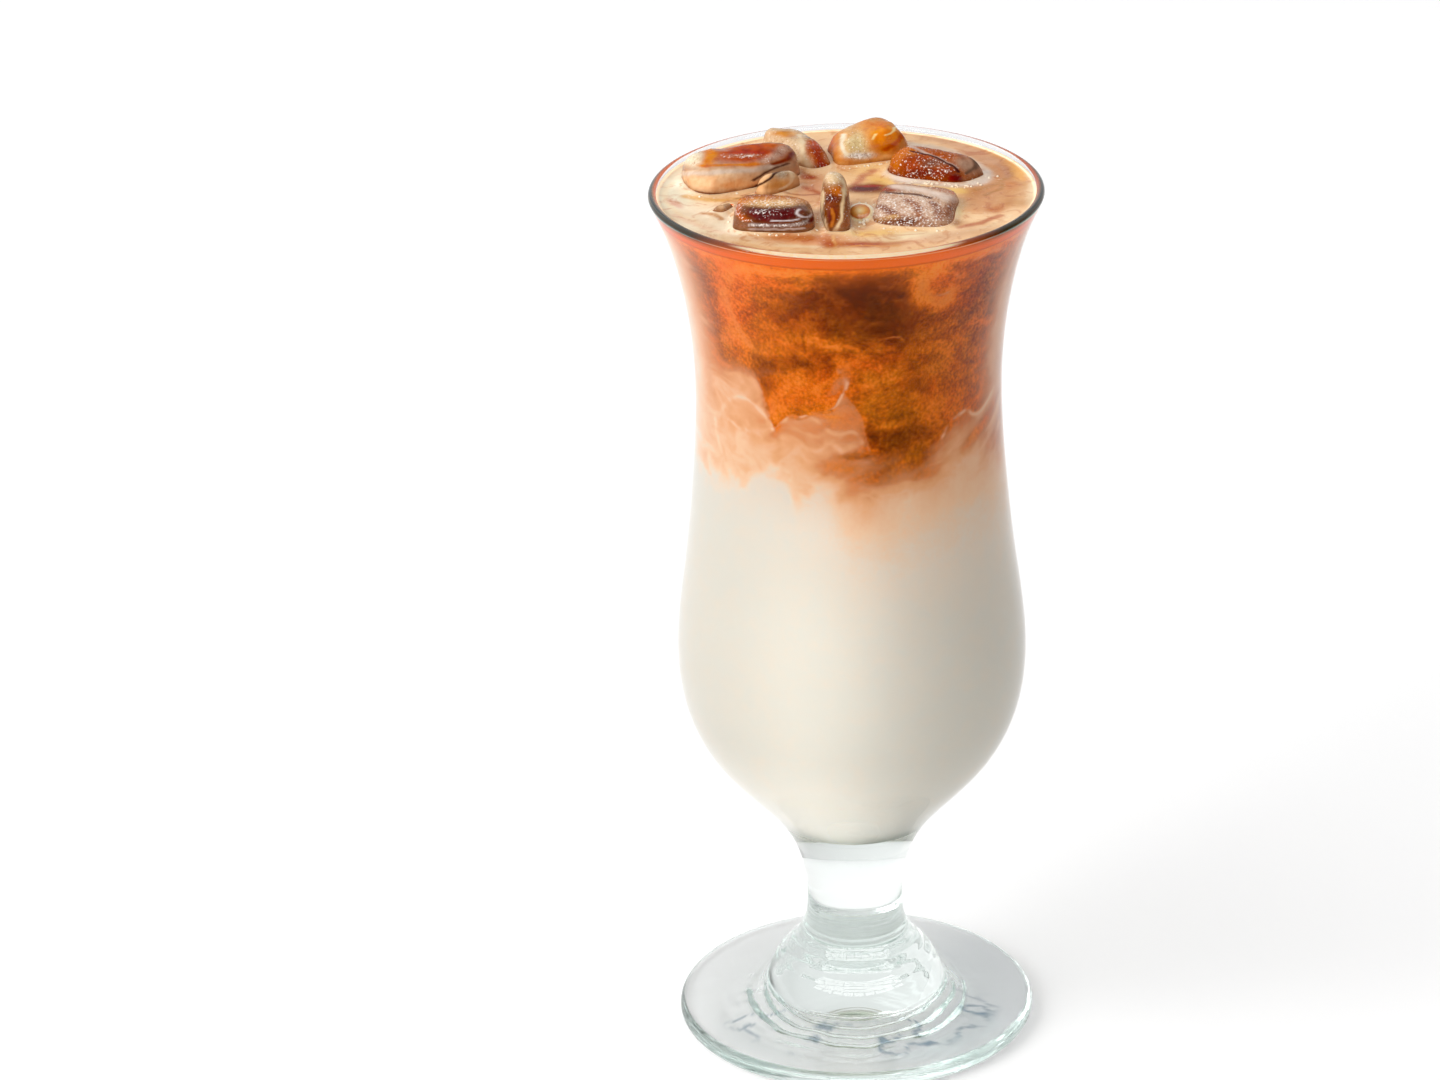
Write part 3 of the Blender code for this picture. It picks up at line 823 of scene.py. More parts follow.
def swirlValues(points):
    # for each point of the wall, in mm: how dark the coffee is, how milky, and how olive
    degrees = np.degrees(np.arctan2(points[:, 0], -points[:, 1]))
    front = smoothStep(86, 64, np.abs(degrees))
    noise = drinkNoise(points)
    dark, veil, olive = coffeeSwirls(points, degrees, front, noise)
    mixMilk(points, degrees, front, noise, dark, veil)
    drawThreads(points, degrees, noise, dark, veil)
    return np.clip(dark + 0.05 * noise.fine, 0, 1), np.clip(veil, 0, 1), np.clip(olive, 0, 1)


def layerMesh(name, lower, upper, wallRows, faceRows=4):
    # underside rings, wall rings and top rings, each (radius, height) for every bearing: at the wall the
    # height is low + share * (high - low), and across a face it is mean + share^2 * (edge - mean)
    segments = drinkShape["segments"]
    bearing = np.arange(segments) * 360 / segments
    low, high = lower(bearing), upper(bearing)
    rings = []
    for share in np.linspace(0, 1, faceRows + 1)[1:-1]:
        rings.append((share * wallRadius(low), low.mean() + (low - low.mean()) * share**2))
    for share in np.linspace(0, 1, wallRows + 1):
        height = low + (high - low) * share
        rings.append((wallRadius(height), height))
    for share in np.linspace(1, 0, faceRows + 1)[1:-1]:
        rings.append((share * wallRadius(high), high.mean() + (high - high.mean()) * share**2))
    return ringMesh(name, bearing, rings, low.mean(), high.mean())


def ringMesh(name, bearing, rings, bottom, top):
    # point = (radius * sin(bearing), -radius * cos(bearing), height), ring over ring, closed at both ends
    radius = np.array([np.broadcast_to(r, bearing.shape) for r, z in rings])
    height = np.array([np.broadcast_to(z, bearing.shape) for r, z in rings])
    angle = np.radians(bearing)
    points = np.stack((radius * np.sin(angle), -radius * np.cos(angle), height), axis=-1).reshape(-1, 3)
    count, segments = len(points), len(bearing)
    quads = gridFaces(len(rings), segments, around=True)
    first = fan(np.arange(segments), count)
    last = fan(np.arange(segments) + count - segments, count + 1, flip=True)
    ends = ((0, 0, bottom), (0, 0, top))
    made = meshFrom(name, np.vstack((points, ends)) * mm, (quads, first, last))
    made.data.set_sharp_from_angle(angle=math.radians(50))
    return made


def paintSwirls(made):
    points = meshPoints(made)
    # a middle point is moved to the front a little, so that it has a bearing
    points[np.hypot(points[:, 0], points[:, 1]) < 0.01, 1] = -0.01
    for name, values in zip(("dark", "veil", "olive"), swirlValues(points)):
        setValues(made, name, values)
    setColours(made, "glow", drinkGlow(points))


def drinkGlow(points):
    # painted light, given off by the drink as glow: light that the foam sends down into the coffee, that the
    # floor sends up into the milk, and a lit front
    x, y, z = points.T
    bearing = np.degrees(np.arctan2(x, -y))
    top = smoothStep(186.5, 191.5, z)
    left = 0.3 + 0.7 * smoothStep(45, -30, bearing) * smoothStep(-150, -120, bearing)
    low = smoothStep(80, 54, z) * left
    lit = np.exp(-((bearingGap(bearing, -13) / 26) ** 2)) * smoothStep(142, 128, z)
    lit *= 0.6 + 0.4 * smoothStep(128, 104, z)
    shares = (("topGlow", top), ("lowGlow", low), ("litGlow", lit))
    return sum(share[:, None] * np.array(toLinear(drinkShape[name])) for name, share in shares)


drinkColours = {
    "red": (
        (0.0, (254, 142, 46)), (0.22, (240, 114, 18)), (0.45, (200, 90, 10)), (0.72, (144, 56, 5)),
        (1.0, (98, 34, 2)),
    ),
    "olive": (
        (0.0, (250, 158, 56)), (0.22, (230, 130, 20)), (0.45, (190, 104, 12)), (0.72, (142, 74, 6)),
        (1.0, (94, 44, 2)),
    ),
    "milky": (
        (0.0, (222, 128, 58)), (0.4, (226, 154, 102)), (0.6, (240, 182, 134)), (0.8, (246, 208, 172)),
        (0.92, (238, 222, 204)), (1.0, (228, 223, 212)),
    ),
}


def drinkMaterial():
    # coffee from light to dark in red and in olive brown, and milk over it, each broken up by grain and cloud
    material, tree = newMaterial("latteThroughGlass")
    place = objectPlace(tree)
    dark, veil, olive = (valueOf(tree, name) for name in ("dark", "veil", "olive"))
    grain = noiseAt(tree, place, 1500.0, 2.0, 0.7) - 0.5
    cloud = noiseAt(tree, place, 330.0, 6.0, 0.72) - 0.5
    blotch = noiseAt(tree, place, 190.0, 4.0, 0.6, 1.0) - 0.5
    shade = dark + 1.0 * grain + 0.8 * cloud
    red = rampOf(tree, drinkColours["red"], shade)
    brown = rampOf(tree, drinkColours["olive"], shade)
    coffee = mixColour(tree, olive + 1.4 * blotch, red, brown)
    milk = rampOf(tree, drinkColours["milky"], veil + 0.10 * cloud + 0.08 * grain)
    cover = (veil + 0.08 * cloud + 0.05 * grain).between(0.0, 0.55)
    finishMaterial(tree, surfaceOf(tree, {
        "Base Color": mixColour(tree, cover, coffee, milk),
        "Roughness": 0.9,
        "Specular IOR Level": 0.0,
        "Emission Color": colourOf(tree, "glow"),
        "Emission Strength": 1.0,
    }))
    return material


def makeMilk():
    # rings from the glass's floor up, close together there: height = floor + (top - floor) * share^1.5
    segments = drinkShape["segments"]
    bearing = np.arange(segments) * 360 / segments
    top = milkTop(bearing)
    floor = glassShape["inside"][0][1] - drinkShape["reach"]
    rings = []
    for share in np.linspace(0, 1, drinkShape["milkRows"] + 1)[1:]:
        height = floor + (top - floor) * share**1.5
        rings.append((wallRadius(height), height))
    for share in (0.75, 0.5, 0.25):
        rings.append((share * wallRadius(top), top.mean() + (top - top.mean()) * share**2))
    return ringMesh("milkLayer", bearing, rings, floor, top.mean())


def makeDrink():
    material = drinkMaterial()
    milk = makeMilk()
    swirl = layerMesh("swirlLayer", milkTop, coffeeBottom, drinkShape["swirlRows"])
    coffee = layerMesh("coffeeLayer", coffeeBottom, foamBottom, drinkShape["coffeeRows"])
    layers = ((milk, "milk", "milk"), (swirl, "latte_swirl", "latte"), (coffee, "coffee", "coffee"))
    for made, node, slot in layers:
        turnRight(made)
        paintSwirls(made)
        dress(made, material)
        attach(made, "root")
        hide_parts(node)
        print(made.name, "made:", len(made.data.polygons), "faces")


# the camera, in metres and degrees; the strokes below are placed as it sees them

photoCamera = {
    "at": (0.0, -1.0625, 0.5782),
    "focalPixels": 5321.9,
    "frameWidth": 1440,
    "pitch": 23.533,
    "yaw": -1.532,
    "roll": -1.334,
}

# the top: strokes of colour on the foam and on the ice, among them painted shade, painted highlights and a
# painted reflection

# every stroke is placed where the camera sees it on the level of the drink, in mm from the axis:
# a patch has a middle, a half size and a lean; a line has a path and a half width
foamStrokes = (
    # the left and the front left
    dict(at=(-36, 1), size=(5.0, 14), colour=(255, 248, 226), pull=0.97),
    dict(at=(-27, -20), size=(9, 6), lean=-40, colour=(255, 240, 212), pull=0.95),
    dict(at=(-29, -14), size=(9, 9), colour=(255, 238, 214), pull=0.9),
    dict(at=(-36, -5), size=(3.2, 1.2), lean=-60, colour=(226, 168, 146), pull=0.8),
    dict(
        path=((-34, -1), (-29, -3.2), (-24, -3.0), (-21, -2)),
        width=1.1, colour=(236, 184, 118), pull=0.8,
    ),
    dict(path=((-30, -11), (-28, -12.5), (-26.5, -15)), width=0.7, colour=(186, 124, 58), pull=0.8),
    dict(path=((-29, -10.5), (-25.5, -5), (-22, -1.5)), width=0.3, colour=(176, 128, 92), pull=0.8),
    dict(
        path=((-33, -14), (-28, -19), (-22, -25), (-14, -29)),
        width=1.0, colour=(254, 232, 206), pull=0.6,
    ),
    dict(path=((-37, 8), (-38.5, 0), (-36, -9), (-31, -18)), width=0.8, colour=(255, 228, 190), pull=0.5),
    # brown at the front, and the shard's painted reflection below it
    dict(at=(-8, -28.2), size=(9.5, 3.4), lean=-10, colour=(236, 176, 138), pull=1.0),
    dict(at=(-8, -26.6), size=(8, 2.2), lean=-6, colour=(208, 138, 92), pull=0.95),
    dict(
        path=((-36, -12), (-31, -18.5), (-25, -24), (-19, -28)),
        width=0.9, colour=(250, 218, 190), pull=0.8,
    ),
    dict(
        path=((-25, -24.5), (-19, -29), (-12, -31.5), (-6, -32.5)),
        width=0.9, colour=(252, 224, 190), pull=0.8,
    ),
    # painted reflection of the shard, as an orange-brown streak
    dict(at=(-3.6, -29.8), size=(2.2, 3.4), colour=(186, 96, 40), pull=0.95),
    dict(path=((-2.6, -26.5), (-2.3, -33)), width=0.4, colour=(240, 190, 130), pull=0.8),
    dict(at=(3.5, -31), size=(6.4, 2.1), colour=(178, 88, 28), pull=1.0),
    dict(path=((1, -32.5), (4, -31.4), (7, -32.6), (11, -32)), width=0.5, colour=(236, 170, 104), pull=0.7),
    dict(at=(12, -30.2), size=(6, 1.3), lean=8, colour=(206, 138, 92), pull=0.8),
    # cream between the front right block and the glass
    dict(at=(5, -24.6), size=(7, 1.8), colour=(250, 206, 134), pull=0.9),
    dict(at=(14, -26.3), size=(9, 2.6), lean=10, colour=(248, 228, 194), pull=0.85),
    dict(at=(22.8, -13), size=(1.8, 6), lean=-15, colour=(252, 226, 172), pull=0.9),
    dict(at=(22, -19.3), size=(2.4, 1.7), lean=20, colour=(166, 100, 34), pull=0.95),
    dict(path=((23.5, -21.5), (28, -19), (32, -15)), width=1.0, colour=(200, 132, 100), pull=0.9),
    dict(path=((25, -24.5), (30, -21), (34, -15.5)), width=0.9, colour=(250, 220, 184), pull=0.8),
    dict(at=(27, -11), size=(2.8, 2.4), colour=(248, 190, 140), pull=0.8),
    # the right and the back right
    dict(at=(31, 10), size=(9, 18), lean=8, colour=(208, 150, 106), pull=0.97),
    dict(at=(30, -6), size=(6, 7), lean=8, colour=(218, 164, 122), pull=0.95),
    dict(at=(20, -27), size=(10, 3), lean=26, colour=(232, 190, 156), pull=0.8),
    dict(
        path=((35.5, 4), (34.6, -2), (34, -6.5), (31, -11.5)),
        width=1.6, colour=(204, 132, 78), pull=0.95,
    ),
    dict(path=((28, 1.5), (31, 4), (34, 8), (36, 13)), width=1.0, colour=(196, 146, 98), pull=0.8),
    dict(path=((29, -2), (32, 1), (33.5, 5)), width=0.6, colour=(186, 138, 90), pull=0.7),
    dict(path=((31, 20), (33.5, 15), (34.5, 9)), width=0.8, colour=(206, 158, 128), pull=0.8),
    dict(path=((15, 38), (21, 33.5), (27, 27), (31.5, 19)), width=2.0, colour=(224, 180, 150), pull=0.85),
    dict(path=((12, 31.5), (18, 29), (25, 23), (29, 14)), width=1.6, colour=(230, 208, 190), pull=0.85),
    dict(
        path=((10, 41), (20, 37), (29, 30), (35.5, 20), (37.5, 8)),
        width=1.7, colour=(250, 194, 124), pull=0.85,
    ),
    dict(path=((37, 22), (39, 14), (39.6, 4), (38.5, -8)), width=1.1, colour=(246, 222, 190), pull=0.8),
    dict(at=(35, -4), size=(3, 8), lean=-10, colour=(246, 208, 164), pull=0.5),
    # dark coffee by the front right block, and the froth round the drop of foam
    dict(at=(2.6, -11), size=(4.2, 8.6), colour=(214, 172, 134), pull=0.95),
    dict(at=(2.4, -14.5), size=(4.0, 5.0), colour=(255, 240, 206), pull=1.0),
    dict(path=((0.4, -6), (0.8, -11), (0.4, -17), (1.6, -21)), width=0.6, colour=(186, 130, 96), pull=0.7),
    # between the blocks
    dict(at=(6.5, 13), size=(4.5, 9), colour=(255, 216, 160), pull=0.9),
    dict(path=((2.5, 6), (3.5, 10), (6, 14)), width=1.2, colour=(216, 156, 128), pull=0.85),
    dict(path=((7, 8), (12, 5.6), (18, 3), (24, 0.4)), width=1.8, colour=(255, 216, 150), pull=0.95),
    dict(
        path=((9.5, 12), (12, 7.6), (17, 5.6), (23, 4.2), (28.5, 6), (29.5, 12)),
        width=1.8, colour=(228, 214, 204), pull=0.85,
    ),
    dict(at=(-7.5, 5), size=(4, 8), colour=(222, 164, 130), pull=0.85),
    dict(path=((-11, 14.5), (-9.8, 11.5), (-7.5, 10.4)), width=1.3, colour=(172, 80, 44), pull=0.95),
    dict(path=((-8.5, 3.5), (-6, 1), (-4.8, -1.5)), width=0.8, colour=(190, 108, 68), pull=0.85),
    dict(
        path=((-11.5, 20), (-11, 12), (-12.5, 5), (-16, 0.8)),
        width=0.8, colour=(246, 214, 176), pull=0.9,
    ),
    dict(
        path=((-22, -0.6), (-15, 0.4), (-9, -0.8), (-5, -0.4)),
        width=0.45, colour=(176, 112, 84), pull=0.8,
    ),
    dict(
        path=((-24, -3), (-25, -9), (-22.5, -16), (-19, -22.5)),
        width=0.6, colour=(246, 206, 160), pull=0.7,
    ),
    dict(path=((-5.5, -3), (-5.6, -12), (-6, -18), (-8, -23)), width=0.7, colour=(214, 150, 100), pull=0.7),
    # painted shade: a dark strip where the front right block's back side is in shade
    dict(at=(4.2, 3.0), size=(5.4, 3.2), colour=(96, 26, 8), pull=1.0),
    dict(at=(5.6, 4.4), size=(3.0, 0.8), colour=(176, 80, 32), pull=0.8),
)

iceStrokes = {
    "ice_left": (
        dict(at=(-22, 12), size=(16, 26), colour=(226, 186, 150), cover=0.70),
        dict(at=(-26, 8.5), size=(11, 6.0), colour=(251, 206, 160), cover=0.96),
        dict(at=(-23, 6.5), size=(6, 2.6), colour=(252, 196, 140), cover=0.96),
        dict(
            path=((-35, 13.5), (-28, 14.4), (-20, 15.5), (-14, 19)),
            width=1.5, colour=(230, 204, 182), cover=0.95,
        ),
        dict(at=(-21, 26), size=(10.5, 7.0), colour=(186, 66, 6), cover=0.97),
        dict(at=(-20, 31), size=(8, 1.8), colour=(206, 96, 14), cover=0.95),
        dict(at=(-33.5, 25), size=(3.2, 7), lean=10, colour=(252, 238, 208), cover=0.95, fleck=0.5),
        dict(path=((-31, 31), (-29.2, 26), (-29.8, 20)), width=1.4, colour=(228, 142, 44), cover=0.75),
        dict(path=((-30, 31.5), (-24, 32.2), (-17, 32.4)), width=0.7, colour=(196, 104, 44), cover=0.75),
        dict(
            path=((-31, 18.6), (-25, 19.0), (-19, 19.6), (-16, 21)),
            width=1.1, colour=(222, 134, 48), cover=0.8,
        ),
        dict(at=(-22, 25.0), size=(4.6, 1.3), colour=(206, 132, 96), cover=0.8, fleck=1.0),
        dict(
            path=((-17, 21), (-15, 25), (-13, 30)),
            width=1.7, colour=(206, 162, 138), cover=0.92, fleck=0.3,
        ),
        dict(path=((-15, 19), (-12.4, 22.5), (-11.4, 26)), width=1.0, colour=(150, 66, 26), cover=0.8),
        dict(path=((-33, 32.4), (-22, 33.4), (-12, 33)), width=0.5, colour=(150, 112, 92), cover=0.95),
        dict(
            path=((-37.5, 9), (-36.5, 5), (-33, 2.6), (-28, 1.2), (-24, 1.2), (-20.5, 3.6), (-18, 8)),
            width=0.55, colour=(142, 96, 84), cover=1.0,
        ),
        dict(at=(-36, 6.8), size=(1.8, 2.2), colour=(196, 156, 140), cover=0.9),
        dict(path=((-20, 9), (-16.5, 14), (-12.5, 19.5)), width=0.5, colour=(120, 80, 64), cover=0.9),
    ),
    "ice_left_small": (
        dict(at=(-15, 8), size=(7, 14), colour=(240, 194, 146), cover=0.97),
        dict(at=(-14.5, 6), size=(3, 3.5), colour=(230, 170, 104), cover=0.85),
        dict(at=(-13.5, 13), size=(1.6, 3.4), colour=(206, 184, 158), cover=0.85, fleck=0.4),
        dict(
            path=((-20.5, 3), (-18, 7), (-15.5, 12), (-13.5, 17)),
            width=0.5, colour=(92, 58, 44), cover=1.0,
        ),
        dict(path=((-12, 16), (-11.4, 9), (-14, 3)), width=0.5, colour=(250, 224, 188), cover=1.0),
    ),
    "ice_back_left": (
        dict(at=(-11, 32), size=(12, 22), colour=(232, 202, 164), cover=0.86, fleck=0.3),
        dict(at=(-13, 39), size=(2.6, 2.2), colour=(226, 152, 62), cover=0.85),
        dict(at=(-16, 46), size=(4, 2.0), colour=(160, 112, 62), cover=0.85, fleck=0.6),
        dict(
            path=((-7.2, 33), (-6.4, 27), (-5.4, 20), (-4.6, 17)),
            width=2.1, colour=(200, 88, 6), cover=1.0, fleck=0.25,
        ),
        dict(
            path=((-10, 38), (-9.4, 28), (-9, 20), (-8, 15.5)),
            width=0.7, colour=(250, 224, 186), cover=1.0,
        ),
        dict(path=((-19, 30), (-18.6, 38), (-16, 46)), width=0.45, colour=(158, 130, 104), cover=1.0),
        dict(path=((-11.6, 46), (-9, 42), (-7.4, 36)), width=0.5, colour=(150, 108, 70), cover=1.0),
    ),
    "ice_back": (
        dict(at=(3, 30), size=(13, 24), colour=(238, 162, 76), cover=0.88),
        dict(at=(-4.4, 33), size=(2.8, 11), colour=(200, 92, 10), cover=0.9),
        dict(at=(-3, 45), size=(5, 5), colour=(226, 212, 186), cover=0.9, fleck=0.4),
        dict(at=(2.4, 31), size=(3.4, 10), colour=(232, 208, 158), cover=0.86, fleck=0.4),
        dict(at=(3.2, 23.6), size=(3.2, 2.2), colour=(240, 234, 224), cover=0.95, fleck=1.0),
        dict(at=(9, 36), size=(3.6, 10), colour=(236, 142, 28), cover=0.85),
        dict(
            path=((8.6, 27), (10.8, 31), (12.6, 36), (12, 44)),
            width=0.9, colour=(206, 100, 18), cover=0.8,
        ),
        dict(path=((-4, 20), (1, 17.8), (6, 18.6), (9, 23)), width=1.4, colour=(254, 196, 124), cover=0.9),
        dict(path=((9, 37), (10.5, 39.5), (11, 42)), width=0.35, colour=(255, 226, 168), cover=1.0),
        dict(path=((6.2, 34), (7, 38)), width=0.35, colour=(255, 220, 150), cover=1.0),
        dict(path=((0.4, 24), (-0.6, 30), (-0.4, 38)), width=0.5, colour=(248, 232, 204), cover=0.95),
    ),
    "ice_right": (
        dict(at=(18, 17), size=(13, 16), colour=(186, 84, 10), cover=0.9, fleck=0.4),
        dict(at=(10.8, 22), size=(2.0, 7), lean=-8, colour=(208, 122, 38), cover=0.75, fleck=0.2),
        dict(at=(13, 27), size=(2.4, 2.6), colour=(218, 128, 34), cover=0.75, fleck=0.5),
        dict(at=(17, 12), size=(5, 3.2), colour=(146, 66, 10), cover=0.85, fleck=0.7),
        dict(at=(19, 18), size=(3, 3), lean=-35, colour=(164, 108, 86), cover=0.85, fleck=0.7),
        dict(at=(23, 8.5), size=(2.2, 3), colour=(132, 48, 8), cover=0.8),
        dict(at=(26.2, 16.6), size=(2.6, 6), lean=18, colour=(192, 154, 130), cover=0.96),
        dict(path=((27, 21), (28, 16.5), (26, 11)), width=0.6, colour=(140, 108, 90), cover=0.95),
        dict(
            path=((10.5, 30.6), (13.5, 29.6), (17, 25), (21, 20.5), (23.6, 15)),
            width=0.55, colour=(214, 186, 172), cover=1.0,
        ),
        dict(
            path=((14, 26.4), (18, 23.4), (22, 18.4), (24, 12)),
            width=0.4, colour=(96, 44, 22), cover=0.95,
        ),
    ),
    "ice_front_left": (
        dict(at=(-15, -10), size=(12, 16), colour=(104, 30, 8), cover=0.85, fleck=0.15),
        dict(
            path=((-22, -3.4), (-17, -2.6), (-11, -2.8), (-7, -4)),
            width=2.8, colour=(214, 124, 30), cover=0.90, fleck=0.5,
        ),
        dict(at=(-15, -5.2), size=(6.4, 2.8), colour=(255, 210, 148), cover=0.97, fleck=0.9),
        dict(
            path=((-23, -6), (-22.6, -11), (-20.6, -16)),
            width=0.9, colour=(196, 104, 40), cover=0.8, fleck=0.8,
        ),
        dict(at=(-17, -11), size=(2.6, 2.6), colour=(120, 54, 34), cover=0.8, fleck=1.0),
        # painted highlights: silvery lines low on the block, and white curls and lines on its right
        dict(
            path=((-19.5, -18.4), (-15, -19.2), (-10, -18.6), (-7.6, -16.6)),
            width=0.9, colour=(196, 178, 170), cover=0.9, fleck=0.9,
        ),
        dict(path=((-20, -20.9), (-14, -21.5), (-8.6, -21)), width=0.5, colour=(226, 208, 200), cover=1.0),
        dict(
            path=((-10.2, -9.5), (-10.4, -12), (-8.6, -14.4), (-7.4, -12)),
            width=0.4, colour=(232, 218, 216), cover=1.0,
        ),
        dict(
            path=((-15.6, -16), (-12.4, -16.4), (-10, -15.4)),
            width=0.35, colour=(238, 228, 228), cover=1.0,
        ),
        dict(path=((-6.6, -6), (-6.4, -12), (-7.4, -17)), width=0.6, colour=(120, 40, 14), cover=0.9),
    ),
    "ice_front_shard": (
        dict(at=(-3, -4), size=(5, 24), colour=(150, 84, 38), cover=0.72, fleck=0.3),
        dict(at=(-2.6, 11), size=(3, 6), colour=(238, 208, 166), cover=0.88, fleck=0.3),
        dict(at=(-1.4, 2), size=(1.8, 3.2), colour=(200, 112, 42), cover=0.82, fleck=0.4),
        dict(at=(-3.4, -3), size=(1.8, 2.2), colour=(122, 62, 24), cover=0.85, fleck=0.7),
        dict(at=(-3, -14), size=(1.3, 7.5), colour=(124, 58, 20), cover=0.8),
        dict(path=((-3.2, -9), (-2.8, -15), (-3, -20)), width=0.35, colour=(198, 120, 60), cover=0.9),
        dict(
            path=((-5, 12), (-5.2, 4), (-5.2, -6), (-4.8, -16), (-3.8, -24)),
            width=0.5, colour=(238, 214, 176), cover=1.0,
        ),
        dict(
            path=((-0.6, 9), (-0.5, 2), (-1, -8), (-1.2, -18), (-2.6, -24.5)),
            width=0.45, colour=(236, 206, 164), cover=1.0,
        ),
        dict(at=(-3, -24.6), size=(1.8, 1.2), colour=(246, 230, 208), cover=1.0),
    ),
    "ice_front_right": (
        dict(at=(13, -11), size=(14, 17), colour=(240, 206, 180), cover=0.92, fleck=0.8),
        dict(
            path=((6.6, -8), (9, -11), (10.4, -17)),
            width=1.2, colour=(176, 116, 86), cover=0.9, fleck=0.8,
        ),
        dict(
            path=((13, -5), (15, -10), (15.6, -16)),
            width=1.0, colour=(184, 124, 92), cover=0.9, fleck=0.8,
        ),
        dict(
            path=((18, -6), (19.4, -11), (19, -17)),
            width=0.9, colour=(180, 124, 96), cover=0.9, fleck=0.8,
        ),
        # painted shade: the dark strip of the block's back side in shade
        dict(at=(6.5, 2.6), size=(4.6, 2.6), colour=(116, 38, 14), cover=0.95),
        dict(at=(9, 2.4), size=(2.6, 1.5), colour=(164, 70, 22), cover=0.95, fleck=0.2),
        dict(
            path=((11, 3.6), (15, 2), (20, -1.6), (23, -5)),
            width=1.5, colour=(248, 226, 210), cover=0.97,
        ),
        dict(
            path=((8.5, 0.4), (13, -0.6), (18, -3.4)),
            width=0.5, colour=(112, 70, 56), cover=0.9, fleck=0.3,
        ),
        dict(at=(21.6, -11), size=(1.5, 6), lean=-12, colour=(176, 110, 68), cover=0.9, fleck=0.5),
        dict(
            path=((5, -21), (7, -17), (10, -15)),
            width=1.3, colour=(252, 206, 140), cover=0.95, fleck=0.3,
        ),
        dict(path=((10, -23.4), (15, -23.6), (20, -22.6)), width=0.5, colour=(248, 228, 190), cover=1.0),
        dict(at=(11.5, -17.5), size=(5.5, 3.0), colour=(166, 108, 76), cover=0.9, fleck=0.8),
    ),
    "ice_chip": (dict(at=(-25, -9), size=(4, 8), colour=(220, 180, 140), cover=0.85, fleck=0.3),),
}


def seenPlace(points):
    # where the camera sees points (in mm) on the level of the drink: eye + reach * (point - eye)
    eye = np.array(photoCamera["at"]) / mm
    reach = (eye[2] - drinkShape["level"]) / (eye[2] - points[:, 2:])
    return (eye + reach * (points - eye))[:, :2]


def brushed(points, strokes, colour, cover=0.0):
    # colour, cover and flecks after all strokes, each of the strength pull * exp(-away^3);
    # the places are shaken a little so that no edge is even
    shake = [0.75 * layeredNoise(points, 3.2, 4, shift) for shift in (3.7, 9.1)]
    x, y = seenPlace(points).T + shake
    colours = np.tile(toLinear(colour), (len(points), 1))
    covers = np.full(len(points), cover)
    flecks = np.zeros(len(points))
    for stroke in strokes:
        if "path" in stroke:
            away = distanceToPath(x, y, stroke["path"]) / stroke["width"]
        else:
            lean = math.radians(stroke.get("lean", 0))
            dx, dy = x - stroke["at"][0], y - stroke["at"][1]
            along = (dx * math.cos(lean) + dy * math.sin(lean)) / stroke["size"][0]
            across = (dy * math.cos(lean) - dx * math.sin(lean)) / stroke["size"][1]
            away = np.hypot(along, across)
        near = stroke.get("pull", 1.0) * np.exp(-(away**3))
        colours += near[:, None] * (toLinear(stroke["colour"]) - colours)
        covers += near * (stroke.get("cover", 0) - covers)
        flecks += near * (stroke.get("fleck", 0) - flecks)
    return colours, covers, flecks


# the ice: at is a block's middle, above is how far it stands out of the drink, turn is in degrees,
# and square is how sharp its edges are

iceShapes = {
    "ice_left": dict(
        at=(-21.8, 9.8), size=(24.6, 13.8, 15.0), above=6.8, turn=(7, -3, 16),
        square=4.2, taper=0.05, pinch=0.42,
    ),
    "ice_left_small": dict(
        at=(-14.5, 2.2), size=(11.2, 4.2, 9.0), above=4.4, turn=(0, 4, 42),
        square=3.2, taper=0.10, pinch=0.0,
    ),
    "ice_back_left": dict(
        at=(-10.6, 24.0), size=(20.5, 8.0, 12.0), above=5.2, turn=(0, 8, -56),
        square=3.2, taper=0.05, pinch=0.0,
    ),
    "ice_back": dict(
        at=(5.2, 25.4), size=(17.4, 14.0, 18.0), above=7.0, turn=(8, -14, 16),
        square=4.0, taper=0.04, pinch=0.0,
    ),
    "ice_right": dict(
        at=(19.0, 11.2), size=(20.4, 9.8, 13.0), above=5.6, turn=(14, 6, -20),
        square=3.6, taper=0.10, pinch=0.0,
    ),
    "ice_front_left": dict(
        at=(-15.0, -16.6), size=(17.6, 15.0, 14.0), above=4.8, turn=(4, 0, -3),
        square=4.6, taper=0.04, pinch=0.0,
    ),
    "ice_front_shard": dict(
        at=(-2.6, -14.2), size=(5.6, 17.6, 18.0), above=8.6, turn=(28, 3, 4),
        square=3.0, taper=-0.22, pinch=0.0,
    ),
    "ice_front_right": dict(
        at=(14.6, -12.4), size=(18.4, 20.4, 12.0), above=4.0, turn=(13, 2, -7),
        square=5.0, taper=0.04, pinch=0.0,
    ),
    "ice_chip": dict(
        at=(-25.8, -9.2), size=(3.4, 6.4, 6.0), above=1.4, turn=(0, 0, -32),
        square=2.8, taper=0.10, pinch=0.0,
    ),
}

iceLook = {
    "cells": 60,
    "wobble": 0.07,
    "colour": (220, 180, 140),
    "veil": 0.034,
    "light": 1.12,
    "baseShadeShare": 0.55,
    "baseShadeHeight": 0.5,
    "baseShadeWidth": 0.55,
}


def iceTurn(form):
    x, y, z = (math.radians(angle) for angle in form["turn"])
    return np.array(Matrix.Rotation(z, 3, "Z") @ Matrix.Rotation(y, 3, "Y") @ Matrix.Rotation(x, 3, "X"))


def iceSwell(form, cube):
    # the slow waves that melting leaves, as a share of the block's size: 1 + wobble * (sine + sine) / 2
    u, v, w = cube.T
    seed = form["at"][0] + 2 * form["at"][1]
    waves = np.sin(2.1 * u + 1.7 * v + seed) + np.sin(2.3 * v - 1.9 * w + 2 * seed)
    return 1 + iceLook["wobble"] * waves / 2


